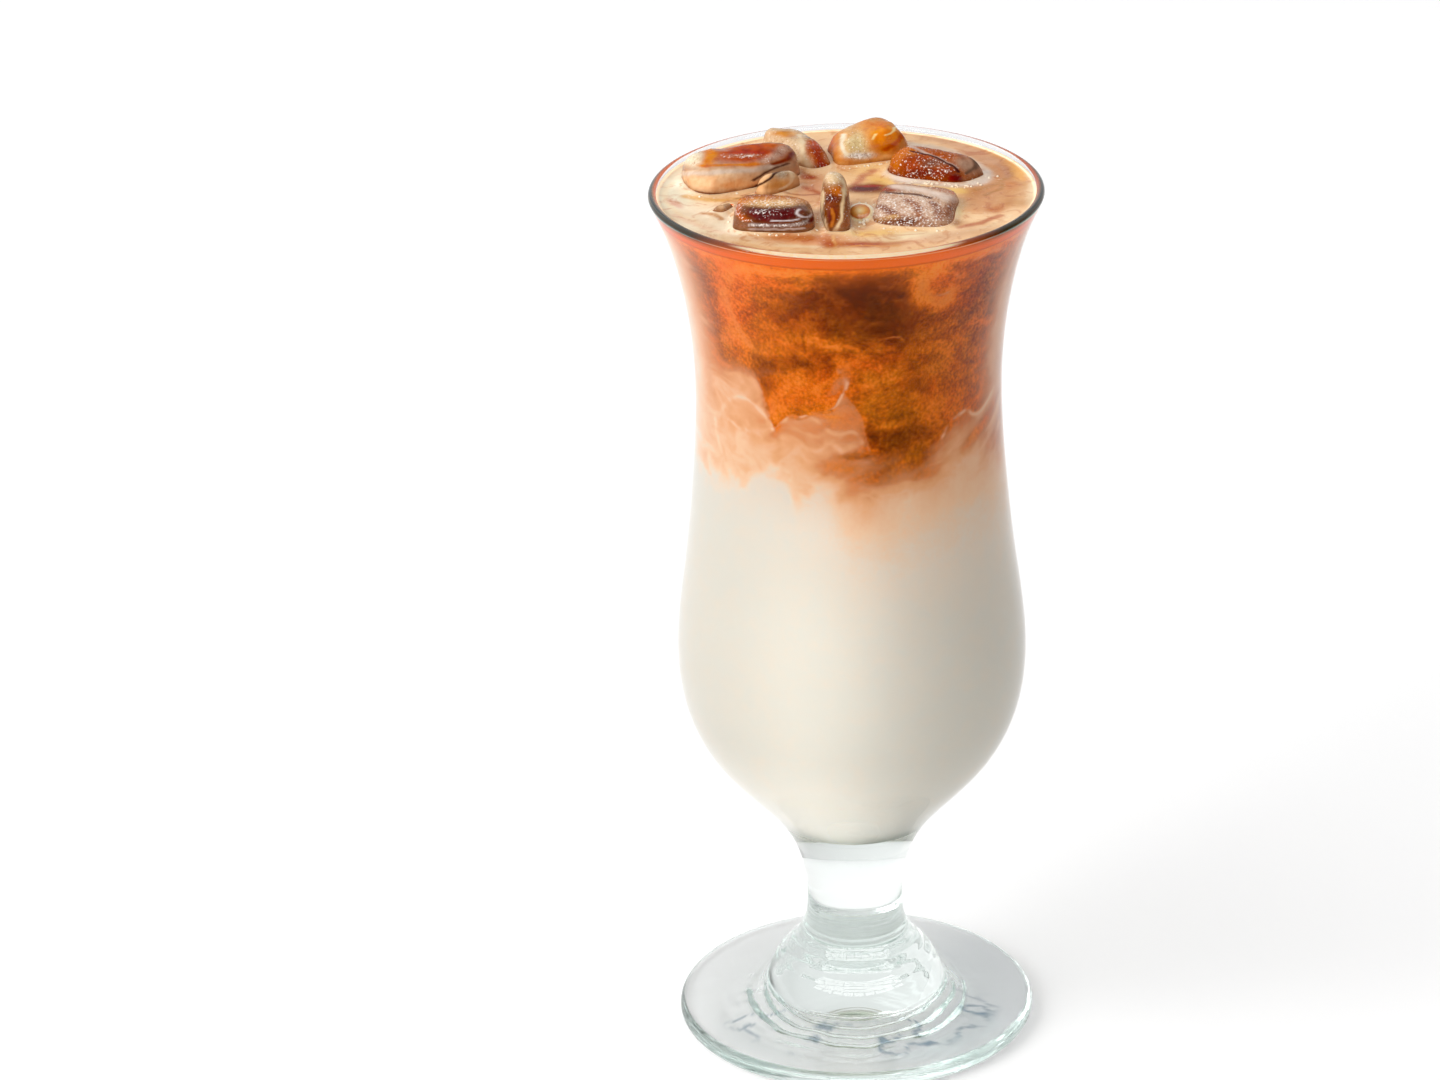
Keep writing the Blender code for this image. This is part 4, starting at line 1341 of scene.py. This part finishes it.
def iceLocal(form, cube, inset=0.0):
    # half size * cube point * swell / (|u|^p + |v|^p + |w|^p)^(1/p), narrower upwards by the taper and
    # towards one end by the pinch: a rounded block before its turn
    square = form["square"]
    u, v, w = cube.T
    rounding = (np.abs(cube) ** square).sum(axis=1) ** (1 / square)
    half = np.array(form["size"]) / 2 - inset
    narrow = 1 - form["taper"] * w
    slim = narrow * (1 - form["pinch"] * u)
    block = np.column_stack((u * half[0] * narrow, v * half[1] * slim, w * half[2]))
    return block * (iceSwell(form, cube) / rounding)[:, None]


def cubePoints(cells):
    # the surface of the cube from -1 to 1 as six grids of two parameters, joined into one mesh
    step = np.tan(np.linspace(-1, 1, cells + 1) * math.pi / 4)
    p, q = (a.ravel() for a in np.meshgrid(step, step, indexing="ij"))
    sides = []
    for axis in range(3):
        for sign in (-1, 1):
            side = np.zeros((len(p), 3))
            side[:, axis] = sign
            side[:, (axis + 1) % 3] = p if sign > 0 else q
            side[:, (axis + 2) % 3] = q if sign > 0 else p
            sides.append(side)
    faces = np.vstack([gridFaces(cells + 1, cells + 1, start=i * len(p)) for i in range(6)])
    unique, index = np.unique(np.round(np.vstack(sides), 6), axis=0, return_inverse=True)
    return unique, index.reshape(-1)[faces]


def iceLift(form):
    # how high the block's middle stands, so that its top is above the drink by the stated height
    cube, _ = cubePoints(12)
    top = (iceLocal(form, cube) @ iceTurn(form).T)[:, 2].max()
    return drinkShape["level"] + form["above"] - top


def icePlace(form, local):
    # turned, and moved to its middle
    return local @ iceTurn(form).T + (*form["at"], iceLift(form))


def iceRatio(form, points):
    # below 1 inside the block, above 1 outside: the block's formula turned round, by a few steps
    local = (points - (*form["at"], form["lift"])) @ iceTurn(form)
    flat = local / (np.array(form["size"]) / 2)
    cube = flat / np.maximum(np.abs(flat).max(axis=1, keepdims=True), 1e-9)
    for _ in range(4):
        narrow = 1 - form["taper"] * cube[:, 2]
        slim = narrow * (1 - form["pinch"] * cube[:, 0])
        plain = np.column_stack((flat[:, 0] / narrow, flat[:, 1] / slim, flat[:, 2]))
        cube = plain / np.maximum(np.abs(plain).max(axis=1, keepdims=True), 1e-9)
    size = (np.abs(plain) ** form["square"]).sum(axis=1) ** (1 / form["square"])
    return size / iceSwell(form, cube)


for form in iceShapes.values():
    form["lift"] = iceLift(form)


def iceMaterial():
    # clear ice, and over it a skin of colour: foam or drink that clings to it or is caught in it, and painted
    # highlights and painted shade
    material, tree = newMaterial("meltingIce")
    place = objectPlace(tree)
    tint = colourOf(tree, "tint")
    cover, fleck = valueOf(tree, "cover"), valueOf(tree, "fleck")
    fine = noiseAt(tree, place, 2100.0, 3.0, 0.62)
    patches = noiseAt(tree, place, 420.0, 3.0, 0.6)
    dimple = noiseAt(tree, place, 260.0, 2.0)
    bright = (fine + fleck * 0.13).between(0.62, 0.76) * fleck.between(0.0, 0.35)
    deep = (1.0 - fine + fleck * 0.05).between(0.56, 0.72) * fleck.between(0.0, 0.35)
    deeper = mixColour(tree, 1.0, tint, tint, "MULTIPLY")
    colour = mixColour(tree, (patches - 0.5) * 1.9 + 0.25, tint, deeper)
    browner = mixColour(tree, 1.0, colour, paint((190, 130, 100)), "MULTIPLY")
    colour = mixColour(tree, deep * 0.7, colour, browner)
    colour = mixColour(tree, bright, colour, paint((250, 240, 232)))
    bump = bumpOf(tree, dimple * 0.8 + fine * (fleck * 0.5 + 0.10) + patches * 0.3, 0.8, 0.0008)
    clear = surfaceOf(tree, {
        "Base Color": paint((255, 253, 249)),
        "Roughness": 0.03,
        "IOR": 1.31,
        "Transmission Weight": 1.0,
        "Specular Tint": (0.5, 0.5, 0.5, 1),
        "Normal": bump,
    })
    skin = surfaceOf(tree, {
        "Base Color": colour,
        "Roughness": 0.10,
        "IOR": 1.31,
        "Specular IOR Level": 0.16,
        "Normal": bump,
    })
    share = (cover + (patches - 0.5) * 0.4 + bright * 0.6).between(0.10, 0.75)
    finishMaterial(tree, addNode(tree, "ShaderNodeMixShader", None, {0: share, 1: clear, 2: skin}))
    return material


bedShape = {
    "inset": 0.3,
    "brim": 0.2,
    "overlap": 0.6,
    "cells": 26,
    "deep": 6.0,
    "wall": 0.1,
    "stops": (
        (0.0, (244, 204, 160)), (0.14, (206, 134, 72)), (0.34, (150, 74, 26)), (0.6, (86, 34, 10)),
        (1.0, (46, 14, 5)),
    ),
}


def bedMaterial():
    # the drink's bed round a piece of ice, seen through it: foam at its brim, coffee below
    material, tree = newMaterial("bedOfDrink")
    warp = noiseAt(tree, objectPlace(tree), 170.0, 4.0, 0.6, 1.2)
    colour = rampOf(tree, bedShape["stops"], valueOf(tree, "depth") + (warp - 0.5) * 0.9)
    finishMaterial(tree, surfaceOf(tree, {"Base Color": colour, "Roughness": 0.8, "Specular IOR Level": 0.1}))
    return material


def paintIce(made, name, points):
    look = iceLook
    colours, covers, flecks = brushed(points, iceStrokes[name], look["colour"])
    # painted shade: a darker line where the block stands in the foam
    above = points[:, 2] - drinkShape["level"]
    baseShade = look["baseShadeShare"] * np.exp(-(((above - look["baseShadeHeight"]) / look["baseShadeWidth"]) ** 2))
    colours *= 1 - baseShade[:, None] * (0.6, 0.85, 1.0)
    covers += baseShade * (1 - covers)
    setColours(made, "tint", np.clip((colours - look["veil"]) / look["light"], 0, 1))
    setValues(made, "cover", covers)
    setValues(made, "fleck", flecks)


def makeIce():
    # each block's formula on the cube's grid, then dents, outwards by 0.24 * noise - 0.55 * |noise|
    material = iceMaterial()
    for name, form in iceShapes.items():
        cube, faces = cubePoints(iceLook["cells"])
        points = icePlace(form, iceLocal(form, cube))
        outward = points - (*form["at"], form["lift"])
        outward /= np.linalg.norm(outward, axis=1, keepdims=True)
        creases = np.abs(layeredNoise(points, 6.5, 2, 12.0))
        dents = 0.24 * layeredNoise(points, 4.5, 4, 2.0) - 0.55 * creases + 0.08
        points = points + outward * dents[:, None]
        made = meshFrom(name.replace("ice_", "iceBlock_"), points * mm, (faces,))
        paintIce(made, name, points)
        turnRight(made)
        dress(made, material)
        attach(made, "root")
        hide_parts(name)
    print("ice made:", len(iceShapes), "pieces")


def makeBeds():
    # for each block a cup just inside its skin, from its lowest point up to the drink's surface
    shape, level = bedShape, drinkShape["level"]
    material = bedMaterial()
    for name, form in iceShapes.items():
        cube, faces = cubePoints(shape["cells"])
        points = icePlace(form, iceLocal(form, cube, shape["inset"]))
        below = points[:, 2] < level + shape["brim"] + shape["overlap"]
        keep = faces[below[faces].all(axis=1)]
        used, index = np.unique(keep, return_inverse=True)
        points = points[used]
        points[:, 2] = np.minimum(points[:, 2], level + shape["brim"])
        made = meshFrom(name.replace("ice_", "iceBed_"), points * mm, (index.reshape(keep.shape),))
        setValues(made, "depth", np.clip((level - points[:, 2]) / shape["deep"], 0, 1))
        wall = made.modifiers.new("wall", "SOLIDIFY")
        wall.thickness = shape["wall"] * mm
        wall.offset = -1.0
        dress(made, material)
        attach(made, "root")
    print("beds made:", len(iceShapes))


# the crema

cremaShape = {
    "cells": 230,
    "colour": (248, 208, 166),
    "veil": 0.05,
    "light": 1.10,
    "swirl": 0.26,
    "relief": 0.10,
    "highlightLineColour": (255, 232, 200),
    "iceBrimColour": (250, 222, 184),
    "highlightLineGlow": (208, 178, 138),
    "amberGlow": (120, 42, 0),
    "wallColour": (232, 106, 6),
    # down the wall: share of its depth, and how much of the coffee's orange, with its painted amber glow,
    # shows there; bands with none carry the painted highlight line
    "bands": ((0.03, 1.0), (0.08, 1.0), (0.11, 0.0), (0.22, 0.0), (0.25, 1.0), (0.8, 1.0)),
    "meniscusRise": 0.9,
    "meniscusWidth": 0.55,
    "iceRise": 0.45,
    "iceWidth": 0.8,
    "edge": 0.982,
}


def cremaMaterial():
    # tan foam with darker veins and pale froth, the coffee's orange down its wall, and painted light given
    # off as glow at the glass's edge
    material, tree = newMaterial("cremaFoam")
    place = objectPlace(tree)
    tint = colourOf(tree, "tint")
    depth, froth = valueOf(tree, "depth"), valueOf(tree, "froth")
    fine = noiseAt(tree, place, 1700.0, 3.0, 0.65)
    veinsAndPaintedRefraction = noiseAt(tree, place, 210.0, 4.0, 0.6, 1.6)
    darker = mixColour(tree, 1.0, tint, paint((222, 168, 128)), "MULTIPLY")
    colour = mixColour(tree, veinsAndPaintedRefraction.between(0.5, 0.70) * 0.65, tint, darker)
    colour = mixColour(tree, fine.between(0.58, 0.74) * froth * 0.8, colour, paint((252, 240, 226)))
    finishMaterial(tree, surfaceOf(tree, {
        "Base Color": mixColour(tree, depth, colour, paint(cremaShape["wallColour"])),
        "Roughness": 0.30,
        "Specular IOR Level": 0.15,
        "Normal": bumpOf(tree, fine * 0.5 + veinsAndPaintedRefraction * 0.6, 0.3, 0.0004),
        "Emission Color": colourOf(tree, "glow"),
        "Emission Strength": 1.0,
    }))
    return material


def cremaSheet():
    # the grid (u, v) from -1 to 1 drawn out to a disc: x = u * sqrt(1 - v^2 / 2), y = v * sqrt(1 - u^2 / 2),
    # times the radius; faces inside the ice are left out, and points inside it are pushed out to its edge
    shape, level = cremaShape, drinkShape["level"]
    cells = shape["cells"]
    edge = wallRadius(level)
    step = np.linspace(-1, 1, cells + 1)
    u, v = (a.ravel() for a in np.meshgrid(step, step, indexing="ij"))
    x = u * np.sqrt(1 - v * v / 2) * edge
    y = v * np.sqrt(1 - u * u / 2) * edge
    points = np.column_stack((x, y, np.full_like(x, level)))
    ratios = np.array([iceRatio(form, points) for form in iceShapes.values()])
    inside = ratios.min(axis=0) < shape["edge"]
    faces = gridFaces(cells + 1, cells + 1)
    keep = faces[~inside[faces].all(axis=1)]
    for _ in range(4):
        for form in iceShapes.values():
            centre = np.array(form["at"])
            near = np.hypot(*(points[:, :2] - centre).T) < 16
            spot = points[near]
            ratio = iceRatio(form, spot)
            out = ratio < shape["edge"]
            push = (shape["edge"] / np.maximum(ratio[out], 0.5))[:, None] ** 0.8
            spot[out, :2] = centre + (spot[out, :2] - centre) * push
            points[near] = spot
    used, index = np.unique(keep, return_inverse=True)
    return points[used], index.reshape(keep.shape)


def cremaColours(points, radius, edge, away):
    # the strokes, slow swirls over them, a pale brim of foam at the ice, and a painted highlight line at the
    # glass
    shape = cremaShape
    colours, _, _ = brushed(points, foamStrokes, shape["colour"])
    swirl = layeredNoise(points + 2.5 * layeredNoise(points, 9.0, 3, 5.0)[:, None], 7.0, 4, 15.0)
    colours = colours * (1 + shape["swirl"] * swirl[:, None] * (0.8, 1.15, 1.5))
    colours = 1.05 * np.clip(colours, 0, 1.2) ** (1.0, 1.14, 1.20)
    colours = (colours - shape["veil"]) / shape["light"]
    brim = 0.5 * np.exp(-away / 0.6)[:, None]
    colours += brim * (toLinear(shape["iceBrimColour"]) - colours)
    # painted highlight: a pale line along the glass's edge
    line = smoothStep(edge - 0.75, edge - 0.2, radius)[:, None]
    return colours + line * (toLinear(shape["highlightLineColour"]) - colours)


def cremaRise(points, radius, edge, away, nearIce):
    # climb at the glass = rise * (0.4 + 0.6 * front) * exp((radius - edge) / width), climb at the ice =
    # rise * exp(-(away / width)^2), and a low relief of noise between them
    shape = cremaShape
    front = 0.5 - 0.5 * points[:, 1] / np.maximum(radius, 1)
    rise = shape["meniscusRise"] * (0.4 + 0.6 * front) * np.exp((radius - edge) / shape["meniscusWidth"])
    rise += shape["iceRise"] * np.exp(-((away / shape["iceWidth"]) ** 2))
    relief = shape["relief"] * layeredNoise(points, 5.0, 4, 6.0)
    return rise + relief * (1 - nearIce) * smoothStep(0, 3, edge - radius)


def makeCrema():
    # the sheet, a copy of it below, and a wall round every edge, point = top + share * (bottom - top)
    shape, level = cremaShape, drinkShape["level"]
    floor = level - drinkShape["cremaDepth"]
    points, faces = cremaSheet()
    count = len(points)
    edge = wallRadius(level)
    radius = np.hypot(points[:, 0], points[:, 1])
    forms = iceShapes.values()
    gaps = [(iceRatio(form, points) - shape["edge"]) * min(form["size"][:2]) / 2 for form in forms]
    away = np.clip(np.min(gaps, axis=0), 0, None)
    nearIce = np.exp(-away / 1.6)
    colours = cremaColours(points, radius, edge, away)
    bottom = points.copy()
    bottom[:, :2] *= wallRadius(floor) / edge
    bottom[:, 2] = floor
    points[:, 2] = level + cremaRise(points, radius, edge, away, nearIce)
    points[:, :2] *= (wallRadius(points[:, 2]) / edge)[:, None] ** ((radius / edge) ** 8)[:, None]
    highlightLineGlow, amberGlow = (np.array(toLinear(shape[name])) for name in ("highlightLineGlow", "amberGlow"))
    rings = [points, bottom]
    tints = [colours, colours]
    # painted highlight: the top glows along the glass's edge
    glows = [smoothStep(edge - 0.6, edge - 0.1, radius)[:, None] * highlightLineGlow, 0 * points]
    depths = [np.zeros(count), np.ones(count)]
    froths = [np.clip(nearIce + 0.25, 0, 1), np.zeros(count)]
    # edges that only one face uses
    ends = np.stack((faces, np.roll(faces, -1, axis=1)), axis=-1).reshape(-1, 2)
    sides = ends[~np.isin(ends[:, 0] * count + ends[:, 1], ends[:, 1] * count + ends[:, 0])]
    border = np.unique(sides)
    outer = radius[border] > edge - 0.2
    # the wall goes down in bands: amber, a painted highlight line, and then the orange of the coffee under
    # the foam; the amber and orange bands glow with painted light
    above, walls = sides, []
    for share, depth in shape["bands"]:
        band = points[border] * (1 - share) + bottom[border] * share
        reach = wallRadius(band[:, 2]) / np.hypot(band[:, 0], band[:, 1])
        band[outer, :2] *= reach[outer, None]
        below = np.searchsorted(border, sides) + sum(len(ring) for ring in rings)
        walls.append(np.column_stack((above[:, 1], above[:, 0], below[:, 0], below[:, 1])))
        rings.append(band)
        tints.append(0 * band + toLinear(shape["highlightLineColour"]))
        glows.append(0 * band + (amberGlow if depth > 0.5 else highlightLineGlow))
        depths.append(np.full(len(border), depth))
        froths.append(np.zeros(len(border)))
        above = below
    below = sides + count
    walls.append(np.column_stack((above[:, 1], above[:, 0], below[:, 0], below[:, 1])))
    made = meshFrom("cremaTop", np.vstack(rings) * mm, (faces, faces[:, ::-1] + count, np.vstack(walls)))
    setColours(made, "tint", np.clip(np.vstack(tints), 0, 1))
    setColours(made, "glow", np.vstack(glows))
    setValues(made, "depth", np.concatenate(depths))
    setValues(made, "froth", np.concatenate(froths))
    turnRight(made)
    dress(made, cremaMaterial())
    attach(made, "root")
    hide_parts("crema")
    print("crema made:", len(made.data.polygons), "faces")


# the drop of foam and the bubbles

dropShape = {
    "at": (3.1, -13.3),
    "radius": 3.3,
    "height": 2.4,
    "sink": 0.5,
    "steps": 14,
    "segments": 48,
    # the direction in which its amber middle looks, and how far the rings reach from there, in radians
    "heart": (-0.1, -0.66, 0.74),
    "spread": 1.15,
    # the palest stops, at the heart, are a painted highlight
    "stops": (
        (0.0, (255, 240, 196)), (0.14, (252, 212, 142)), (0.34, (236, 164, 76)), (0.50, (218, 132, 52)),
        (0.58, (204, 108, 38)), (0.68, (255, 232, 180)), (0.86, (255, 246, 220)), (1.0, (246, 224, 196)),
    ),
}

# rows of bubbles: bearings round a block's middle, how many, and how far out from its edge they spread
bubbleShape = {
    "radius": (0.14, 0.42),
    "rings": 4,
    "segments": 8,
    "rows": (
        dict(block="ice_front_right", first=150, last=215, count=46, spread=4.0),
        dict(block="ice_front_right", first=-130, last=-60, count=16, spread=1.2),
        dict(block="ice_right", first=-140, last=10, count=60, spread=3.0),
        dict(block="ice_back", first=-150, last=-40, count=24, spread=1.4),
        dict(block="ice_left", first=-150, last=-20, count=16, spread=0.8),
        dict(block="ice_front_left", first=100, last=350, count=30, spread=0.9),
        dict(block="ice_front_shard", first=-180, last=0, count=24, spread=1.0),
    ),
}


def foamMaterial():
    # amber in the middle with a painted highlight at its heart, cream towards the rim
    material, tree = newMaterial("foamDrop")
    fine = noiseAt(tree, objectPlace(tree), 1900.0, 2.0)
    colour = rampOf(tree, dropShape["stops"], valueOf(tree, "ring") + 0.12 * (fine - 0.5))
    sockets = {"Base Color": colour, "Roughness": 0.12, "Specular IOR Level": 0.5}
    finishMaterial(tree, surfaceOf(tree, sockets))
    return material


def makeDrop(material):
    # a dome turned round its own axis: (radius * cos(angle), height * sin(angle))
    shape = dropShape
    angle = np.linspace(0, math.pi / 2, shape["steps"] + 1)
    dome = np.column_stack((shape["radius"] * np.cos(angle), shape["height"] * np.sin(angle)))
    dome[-1, 0] = 0
    profile = np.vstack(([(0, -shape["sink"]), (shape["radius"], -shape["sink"])], dome))
    made = latheMesh("foamDrop", profile * mm, shape["segments"])
    ahead = meshPoints(made) / (shape["radius"], shape["radius"], shape["height"])
    ahead /= np.linalg.norm(ahead, axis=1, keepdims=True)
    setValues(made, "ring", np.arccos(np.clip(ahead @ shape["heart"], -1, 1)) / shape["spread"])
    made.data.transform(Matrix.Translation(Vector((*shape["at"], drinkShape["level"])) * mm))
    turnRight(made)
    dress(made, material)
    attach(made, "root")
    print("drop made")


def bubblePlaces():
    # seeded random places along the edge of a block and a little way out from it
    chance = np.random.default_rng(5)
    found = []
    for row in bubbleShape["rows"]:
        form = iceShapes[row["block"]]
        angle = np.radians(chance.uniform(row["first"], row["last"], row["count"]))
        ahead = np.column_stack((np.cos(angle), np.sin(angle), 0 * angle))
        reach = np.linspace(1, 16, 61)
        middle = np.array((*form["at"], drinkShape["level"]))
        line = middle + ahead[:, None] * reach[:, None]
        ratio = iceRatio(form, line.reshape(-1, 3)).reshape(len(angle), -1)
        edge = reach[(ratio > 1.0).argmax(axis=1)]
        out = edge + 0.1 + row["spread"] * chance.uniform(0, 1, len(angle)) ** 1.8
        found.append(middle + ahead * out[:, None])
    found = np.vstack(found)
    free = np.min([iceRatio(form, found) for form in iceShapes.values()], axis=0) > 1.0
    return found[free & (np.hypot(found[:, 0], found[:, 1]) < 39)]


def makeBubbles(material):
    # half spheres in one mesh: radius * (cos(tilt) * cos(turn), cos(tilt) * sin(turn), sin(tilt)) on the foam
    shape = bubbleShape
    rings, segments = shape["rings"], shape["segments"]
    tilt = np.linspace(0, math.pi / 2, rings + 1)[:-1, None]
    turn = np.arange(segments) * 2 * math.pi / segments
    x, y, z = np.cos(tilt) * np.cos(turn), np.cos(tilt) * np.sin(turn), np.sin(tilt) + 0 * turn
    ball = np.vstack((np.stack((x, y, z), axis=-1).reshape(-1, 3), [(0, 0, 1), (0, 0, -0.2)]))
    count = len(ball)
    places = bubblePlaces()
    radius = np.random.default_rng(9).uniform(*shape["radius"], len(places))
    points = places[:, None] + ball * radius[:, None, None]
    quads = gridFaces(rings, segments, around=True)
    top = fan(np.arange(segments) + (rings - 1) * segments, count - 2, flip=True)
    base = fan(np.arange(segments), count - 1)
    starts = np.arange(len(places))[:, None, None] * count
    groups = [(starts + group).reshape(-1, group.shape[1]) for group in (quads, top, base)]
    made = meshFrom("foamBubbles", points.reshape(-1, 3) * mm, groups)
    setValues(made, "ring", np.tile(0.86 + 0.14 * np.hypot(ball[:, 0], ball[:, 1]), len(places)))
    turnRight(made)
    dress(made, material)
    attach(made, "root")
    print("bubbles made:", len(places))


# stage, light and camera

def makeCamera():
    shot = photoCamera
    pitch, yaw, roll = (math.radians(shot[name]) for name in ("pitch", "yaw", "roll"))
    ahead = Vector((math.sin(yaw) * math.cos(pitch), math.cos(yaw) * math.cos(pitch), -math.sin(pitch)))
    level = ahead.cross(Vector((0, 0, 1))).normalized()
    upright = level.cross(ahead)
    right = math.cos(roll) * level + math.sin(roll) * upright
    up = -math.sin(roll) * level + math.cos(roll) * upright
    data = bpy.data.cameras.new("photoCamera")
    data.sensor_width = 36.0
    data.lens = shot["focalPixels"] * data.sensor_width / shot["frameWidth"]
    data.clip_start, data.clip_end = 0.05, 50
    camera = bpy.data.objects.new("photoCamera", data)
    bpy.context.scene.collection.objects.link(camera)
    camera.matrix_world = Matrix.Translation(shot["at"]) @ Matrix((right, up, -ahead)).transposed().to_4x4()
    bpy.context.scene.camera = camera
    print("camera set")


floorSetup = {
    "size": 6.0,
    "drop": 0.05,
    "colours": ((250, 250, 250), (244, 244, 244)),
    "glow": 0.10,
}


def makeFloor():
    # one square just under the foot
    size, drop = floorSetup["size"], -floorSetup["drop"] * mm
    corners = [(-size, -size, drop), (size, -size, drop), (size, size, drop), (-size, size, drop)]
    made = meshFrom("floor", corners, (np.array([[0, 1, 2, 3]]),), smooth=False)
    material, tree = newMaterial("paleFloor")
    speck = noiseAt(tree, objectPlace(tree), 40.0, 3.0)
    pale, paler = (paint(colour) for colour in floorSetup["colours"])
    finishMaterial(tree, surfaceOf(tree, {
        "Base Color": mixColour(tree, speck * 0.04, pale, paler),
        "Roughness": 0.7,
        "Emission Color": (1, 1, 1, 1),
        "Emission Strength": floorSetup["glow"],
    }))
    dress(made, material)
    print("floor made")


# lengths in metres, angles in degrees, powers in watts
lightSetup = {
    "keyAt": (-1.6, -0.8, 1.1),
    "keyTowards": (0, 0, 0.10),
    "keySize": (2.0, 1.5),
    "keyPower": 34.5,
    "keyColour": (0.985, 0.99, 1.0),
    "paneBearings": range(-56, 65, 15),
    "paneHeights": (25, 36, 47),
    "paneTowards": (0, 0, 0.06),
    "paneDistance": 1.7,
    "paneSize": (0.35, 0.24),
    "panePower": 0.95,
    "room": 0.78,
    "roomRight": -0.26,
    "roomBehind": 0.14,
    "darkShare": 0.85,
    "darkFrom": 0.74,
    "darkTo": 0.92,
}


def areaLight(name, at, towards, size, power, colour=(1, 1, 1)):
    data = bpy.data.lights.new(name, "AREA")
    data.shape = "RECTANGLE"
    data.size, data.size_y = size
    data.energy = power
    data.color = colour
    made = bpy.data.objects.new(name, data)
    bpy.context.scene.collection.objects.link(made)
    made.location = at
    made.rotation_mode = "QUATERNION"
    made.rotation_quaternion = (Vector(towards) - Vector(at)).to_track_quat("-Z", "Y")
    return made


def makeWindow():
    # a wide window of small bright panes round the front, seen only as glints on ice and glass
    setup = lightSetup
    target = Vector(setup["paneTowards"])
    for bearing in setup["paneBearings"]:
        for height in setup["paneHeights"]:
            turn, tilt = math.radians(bearing), math.radians(height)
            reach = math.cos(tilt)
            ahead = Vector((math.sin(turn) * reach, -math.cos(turn) * reach, math.sin(tilt)))
            at = target + setup["paneDistance"] * ahead
            pane = areaLight("pane", at, target, setup["paneSize"], setup["panePower"])
            pane.visible_diffuse = False
            pane.visible_transmission = False


def makeLights():
    setup = lightSetup
    place = setup["keyAt"], setup["keyTowards"], setup["keySize"]
    key = areaLight("keyLeft", *place, setup["keyPower"], setup["keyColour"])
    key.visible_glossy = False
    makeWindow()
    world = bpy.data.worlds.new("studio")
    bpy.context.scene.world = world
    world.use_nodes = True
    tree = world.node_tree
    towards = addNode(tree, "ShaderNodeTexCoord", out=0)
    right, behind = (addNode(tree, "ShaderNodeSeparateXYZ", None, {0: towards}, out) for out in (0, 1))
    # the room is lightest on the left and behind, and dark on the far right
    room = setup["room"] + setup["roomRight"] * right + setup["roomBehind"] * behind
    light = room * (1.0 - setup["darkShare"] * right.between(setup["darkFrom"], setup["darkTo"]))
    tree.links.new(light.socket, tree.nodes["Background"].inputs["Color"])
    scene = bpy.context.scene
    scene.view_settings.view_transform = "Standard"
    scene.cycles.glossy_bounces = 12
    scene.cycles.transmission_bounces = 16
    scene.cycles.max_bounces = 20
    print("lights made:", len(bpy.data.lights))


makeCamera()
makeFloor()
makeLights()
makeGlass()
makeDrink()
makeIce()
makeBeds()
makeCrema()
foam = foamMaterial()
makeDrop(foam)
makeBubbles(foam)
